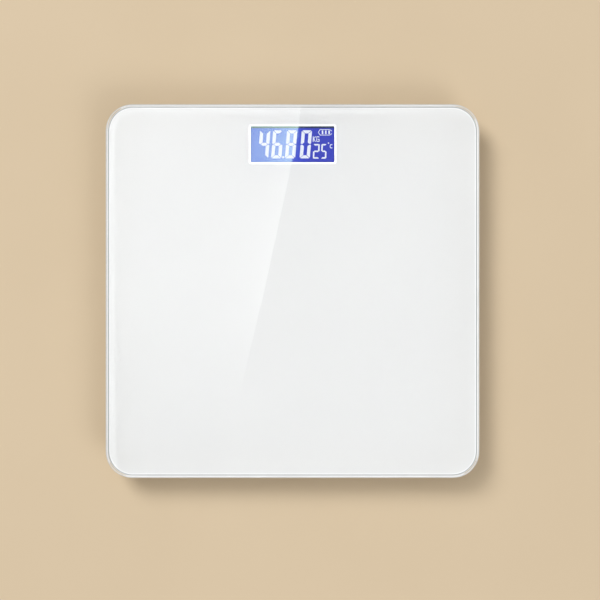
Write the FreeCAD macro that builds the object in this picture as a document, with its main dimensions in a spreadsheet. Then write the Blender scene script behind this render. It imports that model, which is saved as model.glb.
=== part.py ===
# Digital bathroom scale: a square glass platform carried by four weighing feet.
#
# Axes, in millimetres: +Z up, +Y from the user's heels to the display, +X to the user's right.
# The origin is on the floor, under the middle of the platform. From the top down come the
# glass, its printed film, the adhesive pads, and a plastic base tray that holds the four
# weighing feet, the display with its board, and two AAA cells behind a hooked door.
import FreeCAD, Part

import math
import os

import Sketcher
from FreeCAD import Placement, Rotation, Vector

# The driving dimensions. Each is a cell of the sheet, and its name is the cell's alias.
SIZES = {
    # small bevels, fits, and how far a rib or riser sinks into the piece it grows from
    "edge_bevel": 0.4, "hair_gap": 0.1, "slack": 1.0, "overlap": 0.5,
    # glass platform, film and adhesive
    "platform_side": 280.0, "platform_corner": 20.0, "glass_thick": 6.0,
    "glass_round": 1.6, "glass_arris": 0.6, "glass_low": 19.0,
    "film_thick": 0.2, "film_inset": 1.2, "tape_thick": 0.8, "tape_wide": 3.0,
    "tape_pad_radius": 21.0,
    # display window
    "display_y": 110.35, "display_wide": 63.0, "display_deep": 27.2, "window_border": 1.2,
    "sight_corner": 0.8,
    # base tray
    "tray_low": 4.5, "tray_top": 18.0, "tray_side": 250.0, "tray_corner": 5.0,
    "tray_wall": 1.4, "tray_flare": 33.7, "cavity_flare": 29.0, "tray_floor": 2.0,
    "tray_foot_round": 1.4, "tray_rim_side": 267.0, "tray_rim_corner": 13.5,
    "rib_thick": 1.2, "rib_high": 3.5, "rib_pitch": 41.0, "rib_span": 249.0, "rib_end_y": 62.0,
    # weighing feet
    "foot_reach": 98.0, "tower_radius": 25.0, "tower_bore": 23.0, "tower_top": 14.0,
    "lip_thick": 1.5, "lip_bore": 20.6, "ear_reach": 19.8, "ear_boss": 3.2, "ear_pilot": 1.2,
    "ear_pilot_deep": 7.0, "cap_radius": 20.1, "cap_low": 1.0, "cap_wall": 1.7,
    "flange_radius": 22.4, "flange_thick": 1.6, "flange_gap": 0.3, "stem_radius": 5.0,
    "stem_top": 11.4, "cap_floor": 3.4, "cap_rib_thick": 1.4, "cap_rib_top": 7.0,
    "rubber_radius": 18.8, "rubber_thick": 1.8, "rubber_fit": 0.2,
    "groove_first": 5.7, "groove_pitch": 4.7, "groove_deep": 0.5, "groove_wide": 1.2,
    # load cells and their holders
    "cell_side": 34.0, "cell_corner": 5.0, "cell_thick": 2.5, "cell_top": 14.0,
    "slot_side": 22.0, "slot_wide": 2.5, "slot_root": 9.0, "cell_hole": 1.7,
    "cell_hole_reach": 13.6, "relief_hole": 2.1, "relief_reach": 5.2, "relief_root": 6.0,
    "gauge_y": -4.0, "gauge_wide": 5.0, "gauge_deep": 5.0, "gauge_corner": 1.0,
    "gauge_high": 0.4, "holder_radius": 22.6, "holder_low": 12.0, "holder_flange_side": 46.4,
    "holder_flange_corner": 3.4, "holder_flange_high": 2.0, "holder_relief": 15.5,
    "holder_roof": 1.5, "cell_fit": 0.2, "ear_hole": 1.6, "notch_wide": 5.0,
    "notch_deep": 2.0, "notch_long": 16.0,
    # battery bay and door
    "bay_y": 20.0, "bay_long": 51.0, "bay_wide": 23.4, "bay_roof": 17.0, "bay_wall": 1.5,
    "collar_long": 62.0, "collar_wide": 33.4, "collar_top": 8.5, "opening_long": 58.6,
    "opening_wide": 30.0, "door_gap": 0.3, "door_thick": 1.8, "hook_reach": 16.0,
    "hook_wide": 6.0, "hook_low": 6.7, "hook_thick": 1.0, "hook_long": 2.0, "hook_neck": 1.6,
    "hook_root": 4.5, "window_high": 4.0, "hook_window_deep": 10.0, "latch_window_deep": 4.0,
    "latch_wide": 12.0, "latch_slit": 1.0, "latch_long": 7.0, "latch_thick": 1.2,
    "latch_high": 2.0, "grip_pitch": 1.6, "grip_wide": 0.8, "grip_deep": 0.4,
    # cells and contacts
    "cell_radius": 5.25, "cell_edge": 0.5, "battery_long": 44.5, "nipple_radius": 1.9,
    "nipple_long": 0.8, "battery_mid": 11.65, "battery_row": 5.6,
    "contact_thick": 0.4, "contact_wide": 9.0, "contact_high": 9.0, "contact_inset": 0.05,
    "spring_wire": 0.5, "spring_base": 3.8, "spring_tip": 2.4, "spring_long": 4.8,
    "spring_turns": 3.5, "spring_steps": 12.0,
    "tail_low": 14.6, "tail_gap": 0.3, "tail_high": 1.4, "tail_wide": 3.0, "tail_long": 4.4,
    # circuit board and its parts
    "board_left": -54.0, "board_right": 62.0, "board_front": 86.0, "board_back": 125.0,
    "board_low": 11.0, "board_thick": 1.6, "board_corner": 2.0, "post_radius": 3.0,
    "post_pilot": 0.9, "post_pilot_deep": 4.0, "post_hole": 1.3, "post_left": -44.0,
    "post_right": 57.0, "post_front": 90.0, "post_back": 121.0,
    "resin_x": 47.0, "resin_y": 110.0, "resin_radius": 5.0, "resin_high": 1.7,
    "can_x": 44.0, "can_y": 120.0, "can_pitch": 7.0, "can_radius": 2.5, "can_high": 4.5,
    "chip_x": 43.0, "chip_y": 101.0, "chip_pitch": 3.0, "chip_long": 1.6, "chip_wide": 0.9,
    "chip_high": 0.5, "crystal_x": 56.0, "crystal_y": 110.0, "crystal_wide": 4.0,
    "crystal_long": 8.0, "crystal_high": 2.5, "bead_x": -49.0, "bead_y": 112.0,
    "bead_radius": 1.2,
    # display stack
    "frame_wide": 73.0, "frame_front": 91.2, "frame_back": 126.0, "frame_top": 18.6,
    "frame_lip": 0.8, "frame_wall": 1.5, "frame_corner": 1.5, "pane_wide": 65.0,
    "pane_thick": 0.9, "pane_back": 124.2, "pane_fit": 0.5, "front_pane_deep": 31.0,
    "rear_pane_deep": 28.4, "polariser_thick": 0.2, "polariser_inset": 0.5,
    "guide_inset": 2.0, "guide_thick": 2.8, "zebra_thick": 2.0, "zebra_long": 60.0,
    "lamp_x": 31.7, "lamp_row": 8.0, "lamp_thick": 1.2, "lamp_wide": 3.0, "lamp_high": 2.0,
    # unit button
    "button_x": 50.0, "button_y": 97.0, "button_radius": 3.7, "button_hole": 4.0,
    "button_low": 4.3, "button_flange": 4.9, "switch_side": 6.0, "switch_low": 7.8,
    "switch_roof": 0.6, "plunger_radius": 1.7, "plunger_bore": 1.85, "plunger_long": 2.2,
    "button_play": 0.9,
    # wires
    "wire_radius": 0.5, "wire_step": 1.2, "wire_bend": 6.0, "wire_landing": 3.0,
    "wire_over_cell": 0.9, "wire_over_rib": 0.6, "wire_lift": 0.52,
    "wire_way_out": 27.0, "wire_drop": 8.0, "wire_lane": 68.0, "wire_turn_y": 52.0,
    "wire_rise_y": 72.0, "wire_end_y": 93.0, "lead_over_rib": 0.8, "lead_drop": 3.0, "lead_back": 2.0,
    "lead_turn": 6.0, "lead_rise_y": 72.0, "lead_board_y": 82.0, "lead_end_y": 89.0,
    # screws: shank and head radius, head height and length
    "big_head": 2.7, "big_head_high": 1.5, "big_long": 7.0,
    "small_head": 2.2, "small_head_high": 1.3, "small_long": 4.0, "thread_fit": 0.05,
    # label
    "label_long": 70.0, "label_wide": 36.0, "label_y": -46.0, "label_deep": 0.3,
    "label_thick": 0.15, "label_corner": 2.0, "label_fit": 1.0,
}

# The four corners, as (sign of x, sign of y, turn about Z that points the wire notch inwards).
CORNERS = {
    "front_left": (-1, -1, 0.0),
    "front_right": (1, -1, 0.0),
    "rear_left": (-1, 1, -90.0),
    "rear_right": (1, 1, 90.0),
}
# Each battery lead: (side of the bay, x of its lane, x of its end on the board).
LEADS = ((1, 38.0, 39.5), (-1, 41.0, 43.0))
# The resin cap's outline, as shares of its radius and height.
RESIN_CURVE = ((1.0, 0.0), (0.92, 0.35), (0.68, 0.7), (0.32, 0.94))
FOOT_RIBS = 6
FULL_TURN = 360.0
TOUCH = 1e-6


class Size:
    """A dimension that knows its number and the expression that ties it to the sheet."""

    def __init__(self, number, text):
        self.number = number
        self.text = text

    def _with(self, other, sign, result, swapped=False):
        left, right = self.text, as_text(other)
        if swapped:
            left, right = right, left
        return Size(result, f"({left} {sign} {right})")

    def __add__(self, other):
        return self._with(other, "+", self.number + as_number(other))

    def __radd__(self, other):
        return self._with(other, "+", as_number(other) + self.number, swapped=True)

    def __sub__(self, other):
        return self._with(other, "-", self.number - as_number(other))

    def __rsub__(self, other):
        return self._with(other, "-", as_number(other) - self.number, swapped=True)

    def __mul__(self, other):
        return self._with(other, "*", self.number * as_number(other))

    def __rmul__(self, other):
        return self._with(other, "*", as_number(other) * self.number, swapped=True)

    def __truediv__(self, other):
        return self._with(other, "/", self.number / as_number(other))

    def __neg__(self):
        return Size(-self.number, f"(0 - {self.text})")


def as_number(value):
    """The plain number of a Size or of a number."""
    return value.number if isinstance(value, Size) else float(value)


def as_text(value):
    """The expression text of a Size or of a number."""
    return value.text if isinstance(value, Size) else repr(float(value))


def size(name):
    """The sheet's dimension of that name."""
    return Size(SIZES[name], f"sizes.{name}")


def bind(thing, path, value):
    """Sets a property to a size, tied to the sheet when the size comes from it."""
    thing.setExpression(path, as_text(value))


# ---------------------------------------------------------------- sheet, sketches and features

def make_sheet(doc):
    """Writes the driving dimensions into the document's spreadsheet."""
    sheet = doc.addObject("Spreadsheet::Sheet", "sizes")
    for row, (name, number) in enumerate(SIZES.items(), start=1):
        sheet.set(f"A{row}", name.replace("_", " "))
        sheet.set(f"B{row}", str(number))
        sheet.setAlias(f"B{row}", name)
    doc.recompute()


def new_body(doc, label):
    """An empty body with the label that names its file."""
    body = doc.addObject("PartDesign::Body", label)
    body.Label = label
    return body


def origin_plane(body, role):
    """One of the body's own origin planes."""
    return next(f for f in body.Origin.OriginFeatures if f.Role == role)


class Outline:
    """A sketch on one of its body's own planes, drawn from sizes."""

    def __init__(self, body, name, level=0.0, role="XY_Plane"):
        self.sketch = body.newObject("Sketcher::SketchObject", name)
        self.sketch.AttachmentSupport = [(origin_plane(body, role), "")]
        self.sketch.MapMode = "FlatFace"
        bind(self.sketch, "AttachmentOffset.Base.z", level)

    def _tie(self, kind, where, value):
        """Adds one driving dimension and ties it to the sheet."""
        index = self.sketch.addConstraint(Sketcher.Constraint(kind, *where, as_number(value)))
        if isinstance(value, Size):
            self.sketch.setExpression(f"Constraints[{index}]", value.text)

    def _pin(self, curve, point, x, y):
        """Places a curve's point from the sketch's origin."""
        for kind, value, axis in (("DistanceX", x, -2), ("DistanceY", y, -1)):
            if abs(as_number(value)) < TOUCH:
                self.sketch.addConstraint(Sketcher.Constraint("PointOnObject", curve, point, axis))
            else:
                self._tie(kind, (-1, 1, curve, point), value)

    def circle(self, x, y, radius):
        """A circle about a point."""
        centre = Vector(as_number(x), as_number(y), 0)
        circle = Part.Circle(centre, Vector(0, 0, 1), as_number(radius))
        curve = self.sketch.addGeometry(circle, False)
        self._pin(curve, 3, x, y)
        self._tie("Radius", (curve,), radius)
        return self

    def polygon(self, points):
        """A closed outline of straight lines through the points, in order."""
        spots = [Vector(as_number(x), as_number(y), 0) for x, y in points]
        lines = []
        for here, after in zip(spots, spots[1:] + spots[:1]):
            lines.append(self.sketch.addGeometry(Part.LineSegment(here, after), False))
        for line, after in zip(lines, lines[1:] + lines[:1]):
            self.sketch.addConstraint(Sketcher.Constraint("Coincident", line, 2, after, 1))
        for line, (x, y) in zip(lines, points):
            self._pin(line, 1, x, y)
        return self

    def rectangle(self, x, y, wide, deep):
        """A rectangle about a centre."""
        left, right = x - wide / 2, x + wide / 2
        front, back = y - deep / 2, y + deep / 2
        return self.polygon([(left, front), (right, front), (right, back), (left, back)])

    def rounded(self, x, y, wide, deep, corner):
        """A rectangle about a centre, with four equal round corners."""
        radius = as_number(corner)
        arcs = []
        centres = []
        for quarter, (sx, sy) in enumerate(((1, 1), (-1, 1), (-1, -1), (1, -1))):
            cx = x + sx * (wide / 2 - corner)
            cy = y + sy * (deep / 2 - corner)
            centres.append((cx, cy))
            circle = Part.Circle(Vector(as_number(cx), as_number(cy), 0), Vector(0, 0, 1), radius)
            start = quarter * math.pi / 2
            arc = Part.ArcOfCircle(circle, start, start + math.pi / 2)
            arcs.append((self.sketch.addGeometry(arc, False), arc))
        for (curve, arc), (after, after_arc) in zip(arcs, arcs[1:] + arcs[:1]):
            side = Part.LineSegment(arc.EndPoint, after_arc.StartPoint)
            line = self.sketch.addGeometry(side, False)
            self.sketch.addConstraint(Sketcher.Constraint("Tangent", curve, 2, line, 1))
            self.sketch.addConstraint(Sketcher.Constraint("Tangent", line, 2, after, 1))
        first = arcs[0][0]
        self._tie("Radius", (first,), corner)
        for (curve, _), (cx, cy) in zip(arcs, centres):
            self._pin(curve, 3, cx, cy)
            if curve != first:
                self.sketch.addConstraint(Sketcher.Constraint("Equal", first, curve))
        return self


def add_feature(body, kind, name, outline):
    """Adds a sketch-based feature and makes it the body's tip."""
    feature = body.newObject(kind, name)
    feature.Profile = outline.sketch
    outline.sketch.Visibility = False
    body.Tip = feature
    return feature


def pad(body, name, outline, length):
    """Adds material from the outline upwards."""
    feature = add_feature(body, "PartDesign::Pad", name, outline)
    bind(feature, "Length", length)
    return feature


def pocket(body, name, outline, depth, upwards=False):
    """Cuts from the outline downwards, or upwards."""
    feature = add_feature(body, "PartDesign::Pocket", name, outline)
    bind(feature, "Length", depth)
    feature.Reversed = upwards
    return feature


def turn(body, name, outline, kind="PartDesign::Revolution"):
    """Turns the outline about the sketch's vertical axis."""
    feature = add_feature(body, kind, name, outline)
    feature.ReferenceAxis = (outline.sketch, ["V_Axis"])
    feature.Angle = FULL_TURN
    return feature


def dress(body, name, kind, wanted, path, amount):
    """Fillets or chamfers the tip's edges that wanted() picks."""
    body.Document.recompute()
    base = body.Tip
    edges = [f"Edge{n}" for n, edge in enumerate(base.Shape.Edges, start=1) if wanted(edge)]
    if not edges:
        raise RuntimeError(f"{name}: no edge to work on")
    feature = body.newObject(kind, name)
    feature.Base = (base, edges)
    bind(feature, path, amount)
    body.Tip = feature
    return feature


def fillet(body, name, wanted, radius):
    """Rounds the tip's picked edges."""
    return dress(body, name, "PartDesign::Fillet", wanted, "Radius", radius)


def chamfer(body, name, wanted, amount):
    """Bevels the tip's picked edges."""
    return dress(body, name, "PartDesign::Chamfer", wanted, "Size", amount)


def level_edge(level):
    """Picks the edges that lie flat at a level."""
    height = as_number(level)

    def wanted(edge):
        box = edge.BoundBox
        return abs(box.ZMin - height) < 1e-4 and abs(box.ZMax - height) < 1e-4

    return wanted


def block(doc, name, x, y, low, wide, deep, high):
    """A box about a centre in plan, standing on a level."""
    box = doc.addObject("Part::Box", name)
    bind(box, "Length", wide)
    bind(box, "Width", deep)
    bind(box, "Height", high)
    bind(box, "Placement.Base.x", x - wide / 2)
    bind(box, "Placement.Base.y", y - deep / 2)
    bind(box, "Placement.Base.z", low)
    return box


def drum(doc, name, x, y, low, radius, high):
    """An upright cylinder standing on a level."""
    cylinder = doc.addObject("Part::Cylinder", name)
    bind(cylinder, "Radius", radius)
    bind(cylinder, "Height", high)
    bind(cylinder, "Placement.Base.x", x)
    bind(cylinder, "Placement.Base.y", y)
    bind(cylinder, "Placement.Base.z", low)
    return cylinder


def group(doc, label, solids):
    """Several like solids kept in one node."""
    compound = doc.addObject("Part::Compound", label)
    compound.Links = solids
    compound.Label = label
    return compound


def fused(doc, label, solids):
    """Primitives joined into one piece."""
    fusion = doc.addObject("Part::MultiFuse", label)
    fusion.Shapes = solids
    fusion.Label = label
    return fusion


def shaped(doc, label, shape):
    """A piece whose shape is made with Part's own functions."""
    piece = doc.addObject("Part::Feature", label)
    piece.Label = label
    piece.Shape = shape
    return piece


# ---------------------------------------------------------------- platform

def make_glass(doc):
    """Tempered glass plate with a rounded upper edge and a small lower arris."""
    body = new_body(doc, "glass_platform")
    low = size("glass_low")
    thick = size("glass_thick")
    side = size("platform_side")
    outline = Outline(body, "glass_outline", low).rounded(0, 0, side, side, size("platform_corner"))
    pad(body, "glass_slab", outline, thick)
    fillet(body, "glass_upper_edge", level_edge(low + thick), size("glass_round"))
    chamfer(body, "glass_lower_edge", level_edge(low), size("glass_arris"))
    return body


def make_film(doc):
    """Printed anti-shatter film behind the glass, with the display window cut out."""
    body = new_body(doc, "backing_film")
    thick = size("film_thick")
    low = size("glass_low") - thick
    inset = size("film_inset")
    border = size("window_border")
    side = size("platform_side") - 2 * inset
    outline = Outline(body, "film_outline", low)
    outline.rounded(0, 0, side, side, size("platform_corner") - inset)
    pad(body, "film_sheet", outline, thick)
    window = Outline(body, "window_outline", low + thick)
    window.rectangle(0, size("display_y"), size("display_wide") + 2 * border,
                     size("display_deep") + 2 * border)
    pocket(body, "film_window", window, thick)
    return body


def make_tape(doc):
    """Adhesive between the film and the tray: a ring on the rim and a disc over each foot."""
    low = size("tray_top")
    thick = size("tape_thick")
    side = size("tray_rim_side")
    corner = size("tray_rim_corner")
    band = size("tape_wide")
    ring = new_body(doc, "tape_ring")
    outer = Outline(ring, "ring_outer", low).rounded(0, 0, side, side, corner)
    pad(ring, "ring_sheet", outer, thick)
    inner = Outline(ring, "ring_inner", low + thick)
    inner.rounded(0, 0, side - 2 * band, side - 2 * band, corner - band)
    pocket(ring, "ring_hole", inner, thick)
    reach = size("foot_reach")
    discs = [drum(doc, f"tape_disc_{name}", sx * reach, sy * reach, low,
                  size("tape_pad_radius"), thick)
             for name, (sx, sy, _) in CORNERS.items()]
    return group(doc, "bonding_tape", [ring] + discs)


# ---------------------------------------------------------------- base tray

def corner_circles(outline, radius):
    """Draws a circle at each of the four feet."""
    reach = size("foot_reach")
    for sx, sy, _ in CORNERS.values():
        outline.circle(sx * reach, sy * reach, radius)
    return outline


def ear_circles(outline, radius):
    """Draws the four screw places round each foot."""
    reach = size("foot_reach")
    ear = size("ear_reach")
    for sx, sy, _ in CORNERS.values():
        for ex in (-1, 1):
            for ey in (-1, 1):
                outline.circle(sx * reach + ex * ear, sy * reach + ey * ear, radius)
    return outline


def post_places():
    """The four screw posts of the circuit board."""
    return [(size(x), size(y)) for x in ("post_left", "post_right")
            for y in ("post_front", "post_back")]


def tray_shell(body):
    """The flared shell of the tray, with a rounded lower edge."""
    low = size("tray_low")
    floor = size("tray_floor")
    side = size("tray_side")
    wall = size("tray_wall")
    bottom = Outline(body, "tray_bottom", low)
    bottom.rounded(0, 0, side, side, size("tray_corner"))
    block = pad(body, "tray_block", bottom, size("tray_top") - low)
    bind(block, "TaperAngle", size("tray_flare"))
    fillet(body, "tray_lower_edge", level_edge(low), size("tray_foot_round"))
    inside = Outline(body, "cavity_floor", low + floor)
    inside.rounded(0, 0, side - 2 * wall, side - 2 * wall, size("tray_corner") - wall)
    hollow = pocket(body, "tray_cavity", inside, size("tray_top") - low - floor, upwards=True)
    bind(hollow, "TaperAngle", size("cavity_flare"))


def tray_ribs(body):
    """A square grid of stiffening ribs on the floor, in front of the board."""
    level = size("tray_low") + size("tray_floor") / 2
    high = size("tray_floor") / 2 + size("rib_high")
    thick = size("rib_thick")
    span = size("rib_span")
    pitch = size("rib_pitch")
    end = size("rib_end_y")
    across = Outline(body, "ribs_across", level)
    for step in (-2, -1, 0, 1):
        across.rectangle(0, step * pitch, span, thick)
    across.rectangle(0, end, span, thick)
    pad(body, "ribs_across_pad", across, high)
    along = Outline(body, "ribs_along", level)
    long = end + span / 2
    for step in (-2, -1, 0, 1, 2):
        along.rectangle(step * pitch, end - long / 2, thick, long)
    pad(body, "ribs_along_pad", along, high)


def tray_standing_parts(body):
    """Towers, screw bosses, board posts and the outside of the battery bay."""
    level = size("tray_low") + size("tray_floor") / 2
    towers = corner_circles(Outline(body, "tower_outside", level), size("tower_radius"))
    pad(body, "towers", towers, size("tower_top") - level)
    ears = ear_circles(Outline(body, "ear_outside", level), size("ear_boss"))
    pad(body, "ear_bosses", ears, size("tower_top") - level)
    posts = Outline(body, "post_outside", level)
    for x, y in post_places():
        posts.circle(x, y, size("post_radius"))
    pad(body, "board_posts", posts, size("board_low") - level)
    bay_y = size("bay_y")
    collar = Outline(body, "collar_outside", level)
    collar.rounded(0, bay_y, size("collar_long"), size("collar_wide"), size("bay_wall"))
    pad(body, "bay_collar", collar, size("collar_top") - level)
    wall = size("bay_wall")
    box = Outline(body, "bay_outside", level)
    box.rounded(0, bay_y, size("bay_long") + 2 * wall, size("bay_wide") + 2 * wall, wall)
    pad(body, "bay_box", box, size("tray_top") - level)


def tray_openings(body):
    """Foot bores and lips, screw pilots, the battery bay, button hole and label recess."""
    low = size("tray_low")
    tower_top = size("tower_top")
    lip_top = low + size("lip_thick")
    bores = corner_circles(Outline(body, "tower_inside", tower_top), size("tower_bore"))
    pocket(body, "tower_bores", bores, tower_top - lip_top)
    lips = corner_circles(Outline(body, "lip_inside", lip_top), size("lip_bore"))
    pocket(body, "lip_bores", lips, size("lip_thick"))
    pilots = ear_circles(Outline(body, "ear_inside", tower_top), size("ear_pilot"))
    pocket(body, "ear_pilots", pilots, size("ear_pilot_deep"))
    post_pilots = Outline(body, "post_inside", size("board_low"))
    for x, y in post_places():
        post_pilots.circle(x, y, size("post_pilot"))
    pocket(body, "post_pilots", post_pilots, size("post_pilot_deep"))
    bay_y = size("bay_y")
    opening = Outline(body, "door_opening", low)
    opening.rounded(0, bay_y, size("opening_long"), size("opening_wide"), size("door_gap"))
    pocket(body, "door_hole", opening, size("tray_floor"), upwards=True)
    inside = Outline(body, "bay_inside", low)
    inside.rectangle(0, bay_y, size("bay_long"), size("bay_wide"))
    pocket(body, "bay_hollow", inside, size("bay_roof") - low, upwards=True)
    hook_room = Outline(body, "hook_windows", low + size("tray_floor"))
    for side in (-1, 1):
        hook_room.rectangle(side * size("hook_reach"), bay_y - size("collar_wide") / 2,
                            size("hook_wide") + size("slack"), size("hook_window_deep"))
    pocket(body, "hook_slots", hook_room, size("window_high"), upwards=True)
    latch_room = Outline(body, "latch_window", low + size("tray_floor"))
    latch_room.rectangle(0, bay_y + size("opening_wide") / 2 - size("slack"),
                         size("latch_wide") + size("slack"), size("latch_window_deep"))
    pocket(body, "latch_slot", latch_room, size("window_high"), upwards=True)
    button = Outline(body, "button_outline", low)
    button.circle(size("button_x"), size("button_y"), size("button_hole"))
    pocket(body, "button_bore", button, size("tray_floor"), upwards=True)
    label = Outline(body, "label_outline", low)
    label.rounded(0, size("label_y"), size("label_long") + size("label_fit"),
                  size("label_wide") + size("label_fit"), size("label_corner"))
    pocket(body, "label_recess", label, size("label_deep"), upwards=True)


def tray_contact_slots(body):
    """Slots in the bay's right end wall for the two contact tails."""
    slots = Outline(body, "tail_slots", size("tail_low"))
    wall = size("bay_wall")
    for side in (-1, 1):
        slots.rectangle((size("bay_long") + wall) / 2, size("bay_y") + side * size("battery_row"),
                        2 * wall, size("tail_wide") + size("edge_bevel"))
    pocket(body, "tail_slots_cut", slots, size("tail_high"), upwards=True)


def make_tray(doc):
    """The injection-moulded base tray, one piece."""
    body = new_body(doc, "base_tray")
    tray_shell(body)
    tray_ribs(body)
    tray_standing_parts(body)
    tray_openings(body)
    tray_contact_slots(body)
    return body


# ---------------------------------------------------------------- weighing feet

def at_corner(body, name):
    """Moves a body made about the origin to its corner and turns it to face inwards."""
    sx, sy, angle = CORNERS[name]
    body.Placement = Placement(Vector(0, 0, 0), Rotation(Vector(0, 0, 1), angle))
    bind(body, "Placement.Base.x", sx * size("foot_reach"))
    bind(body, "Placement.Base.y", sy * size("foot_reach"))
    return body


def make_foot_cap(doc, name):
    """Foot: a ribbed cup with a retaining flange and a stem that presses the cell."""
    body = new_body(doc, f"foot_cap_{name}")
    radius = size("cap_radius")
    low = size("cap_low")
    recess = size("rubber_thick")
    flange_low = size("tray_low") + size("lip_thick") + size("flange_gap")
    flange_top = flange_low + size("flange_thick")
    inner = radius - size("cap_wall")
    seat = size("rubber_radius") + size("rubber_fit")
    edge = size("edge_bevel")
    profile = Outline(body, "cap_profile", role="XZ_Plane")
    profile.polygon([
        (0, recess), (seat, recess), (seat, low), (radius - edge, low), (radius, low + edge),
        (radius, flange_low), (size("flange_radius"), flange_low),
        (size("flange_radius"), flange_top), (inner, flange_top), (inner, size("cap_floor")),
        (size("stem_radius"), size("cap_floor")), (size("stem_radius"), size("stem_top") - edge),
        (size("stem_radius") - edge, size("stem_top")), (0, size("stem_top")),
    ])
    turn(body, "cap_turned", profile)
    root = size("cap_floor") - size("overlap")
    rib = Outline(body, "cap_rib", root)
    rib.rectangle((inner + size("stem_radius")) / 2, 0,
                  inner - size("stem_radius") + 2 * size("overlap"), size("cap_rib_thick"))
    rib_pad = pad(body, "cap_rib_pad", rib, size("cap_rib_top") - root)
    ribs = body.newObject("PartDesign::PolarPattern", "cap_ribs")
    ribs.Originals = [rib_pad]
    ribs.Axis = (rib.sketch, ["N_Axis"])
    ribs.Angle = FULL_TURN
    ribs.Occurrences = FOOT_RIBS
    body.Tip = ribs
    return at_corner(body, name)


def make_rubber(doc, name):
    """Anti-slip rubber disc with three round grooves in its sole."""
    body = new_body(doc, f"foot_pad_{name}")
    radius = size("rubber_radius")
    edge = size("edge_bevel")
    profile = Outline(body, "rubber_profile", role="XZ_Plane")
    profile.polygon([(0, 0), (radius - edge, 0), (radius, edge), (radius, size("rubber_thick")),
                     (0, size("rubber_thick"))])
    turn(body, "rubber_disc", profile)
    grooves = Outline(body, "groove_profile", role="XZ_Plane")
    for ring in range(3):
        grooves.rectangle(size("groove_first") + ring * size("groove_pitch"),
                          size("groove_deep") / 2, size("groove_wide"), size("groove_deep"))
    turn(body, "rubber_grooves", grooves, "PartDesign::Groove")
    return at_corner(body, name)


def make_load_cell(doc, name):
    """Half-bridge load cell: a steel plate whose middle tongue bends under load."""
    body = new_body(doc, f"load_cell_{name}")
    top = size("cell_top")
    thick = size("cell_thick")
    side = size("cell_side")
    plate = Outline(body, "cell_outline", top - thick)
    plate.rounded(0, 0, side, side, size("cell_corner"))
    pad(body, "cell_plate", plate, thick)
    outer = size("slot_side") / 2
    inner = outer - size("slot_wide")
    root = -size("slot_root")
    slot = Outline(body, "tongue_slot", top)
    slot.polygon([(-outer, root), (-inner, root), (-inner, inner), (inner, inner),
                  (inner, root), (outer, root), (outer, outer), (-outer, outer)])
    pocket(body, "tongue_cut", slot, thick)
    holes = Outline(body, "cell_holes", top)
    for sx in (-1, 1):
        holes.circle(sx * size("relief_reach"), -size("relief_root"), size("relief_hole"))
        holes.circle(sx * size("cell_hole_reach"), 0, size("cell_hole"))
    pocket(body, "cell_drilling", holes, thick)
    return at_corner(body, name)


def make_gauge(doc, name):
    """Strain gauge under its moisture coat, bonded on the tongue's root."""
    body = new_body(doc, f"strain_gauge_{name}")
    top = size("cell_top")
    coat = Outline(body, "gauge_outline", top)
    coat.rounded(0, size("gauge_y"), size("gauge_wide"), size("gauge_deep"), size("gauge_corner"))
    pad(body, "gauge_coat", coat, size("gauge_high"))
    return at_corner(body, name)


def make_holder(doc, name):
    """Plastic holder that clamps the load cell's rim and carries the platform."""
    body = new_body(doc, f"cell_holder_{name}")
    low = size("holder_low")
    top = size("tray_top")
    cell_top = size("cell_top")
    disc = Outline(body, "holder_disc", low).circle(0, 0, size("holder_radius"))
    pad(body, "holder_drum", disc, top - low)
    flange = Outline(body, "holder_flange", size("tower_top"))
    flange.rounded(0, 0, size("holder_flange_side"), size("holder_flange_side"),
                   size("holder_flange_corner"))
    pad(body, "holder_plate", flange, size("holder_flange_high"))
    fit = size("cell_fit")
    seat = Outline(body, "cell_seat", low)
    seat.rounded(0, 0, size("cell_side") + 2 * fit, size("cell_side") + 2 * fit,
                 size("cell_corner") + fit)
    pocket(body, "cell_pocket", seat, cell_top - low, upwards=True)
    relief = Outline(body, "tongue_room", low).circle(0, 0, size("holder_relief"))
    pocket(body, "tongue_relief", relief, top - size("holder_roof") - low, upwards=True)
    ears = Outline(body, "ear_holes", low)
    for ex in (-1, 1):
        for ey in (-1, 1):
            ears.circle(ex * size("ear_reach"), ey * size("ear_reach"), size("ear_hole"))
    pocket(body, "ear_drilling", ears, top - low, upwards=True)
    notch = Outline(body, "wire_notch", cell_top)
    notch.rectangle(0, size("holder_flange_side") / 2, size("notch_wide"),
                    2 * size("notch_long"))
    pocket(body, "wire_way", notch, size("notch_deep"), upwards=True)
    return at_corner(body, name)


# ---------------------------------------------------------------- circuit board and its parts

def make_board(doc):
    """The circuit board, drilled for its four screws."""
    body = new_body(doc, "main_board")
    low = size("board_low")
    left, right = size("board_left"), size("board_right")
    front, back = size("board_front"), size("board_back")
    sheet = Outline(body, "board_outline", low)
    sheet.rounded((left + right) / 2, (front + back) / 2, right - left, back - front,
                  size("board_corner"))
    pad(body, "board_sheet", sheet, size("board_thick"))
    holes = Outline(body, "board_holes", low)
    for x, y in post_places():
        holes.circle(x, y, size("post_hole"))
    pocket(body, "board_drilling", holes, size("board_thick"), upwards=True)
    return body


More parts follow.
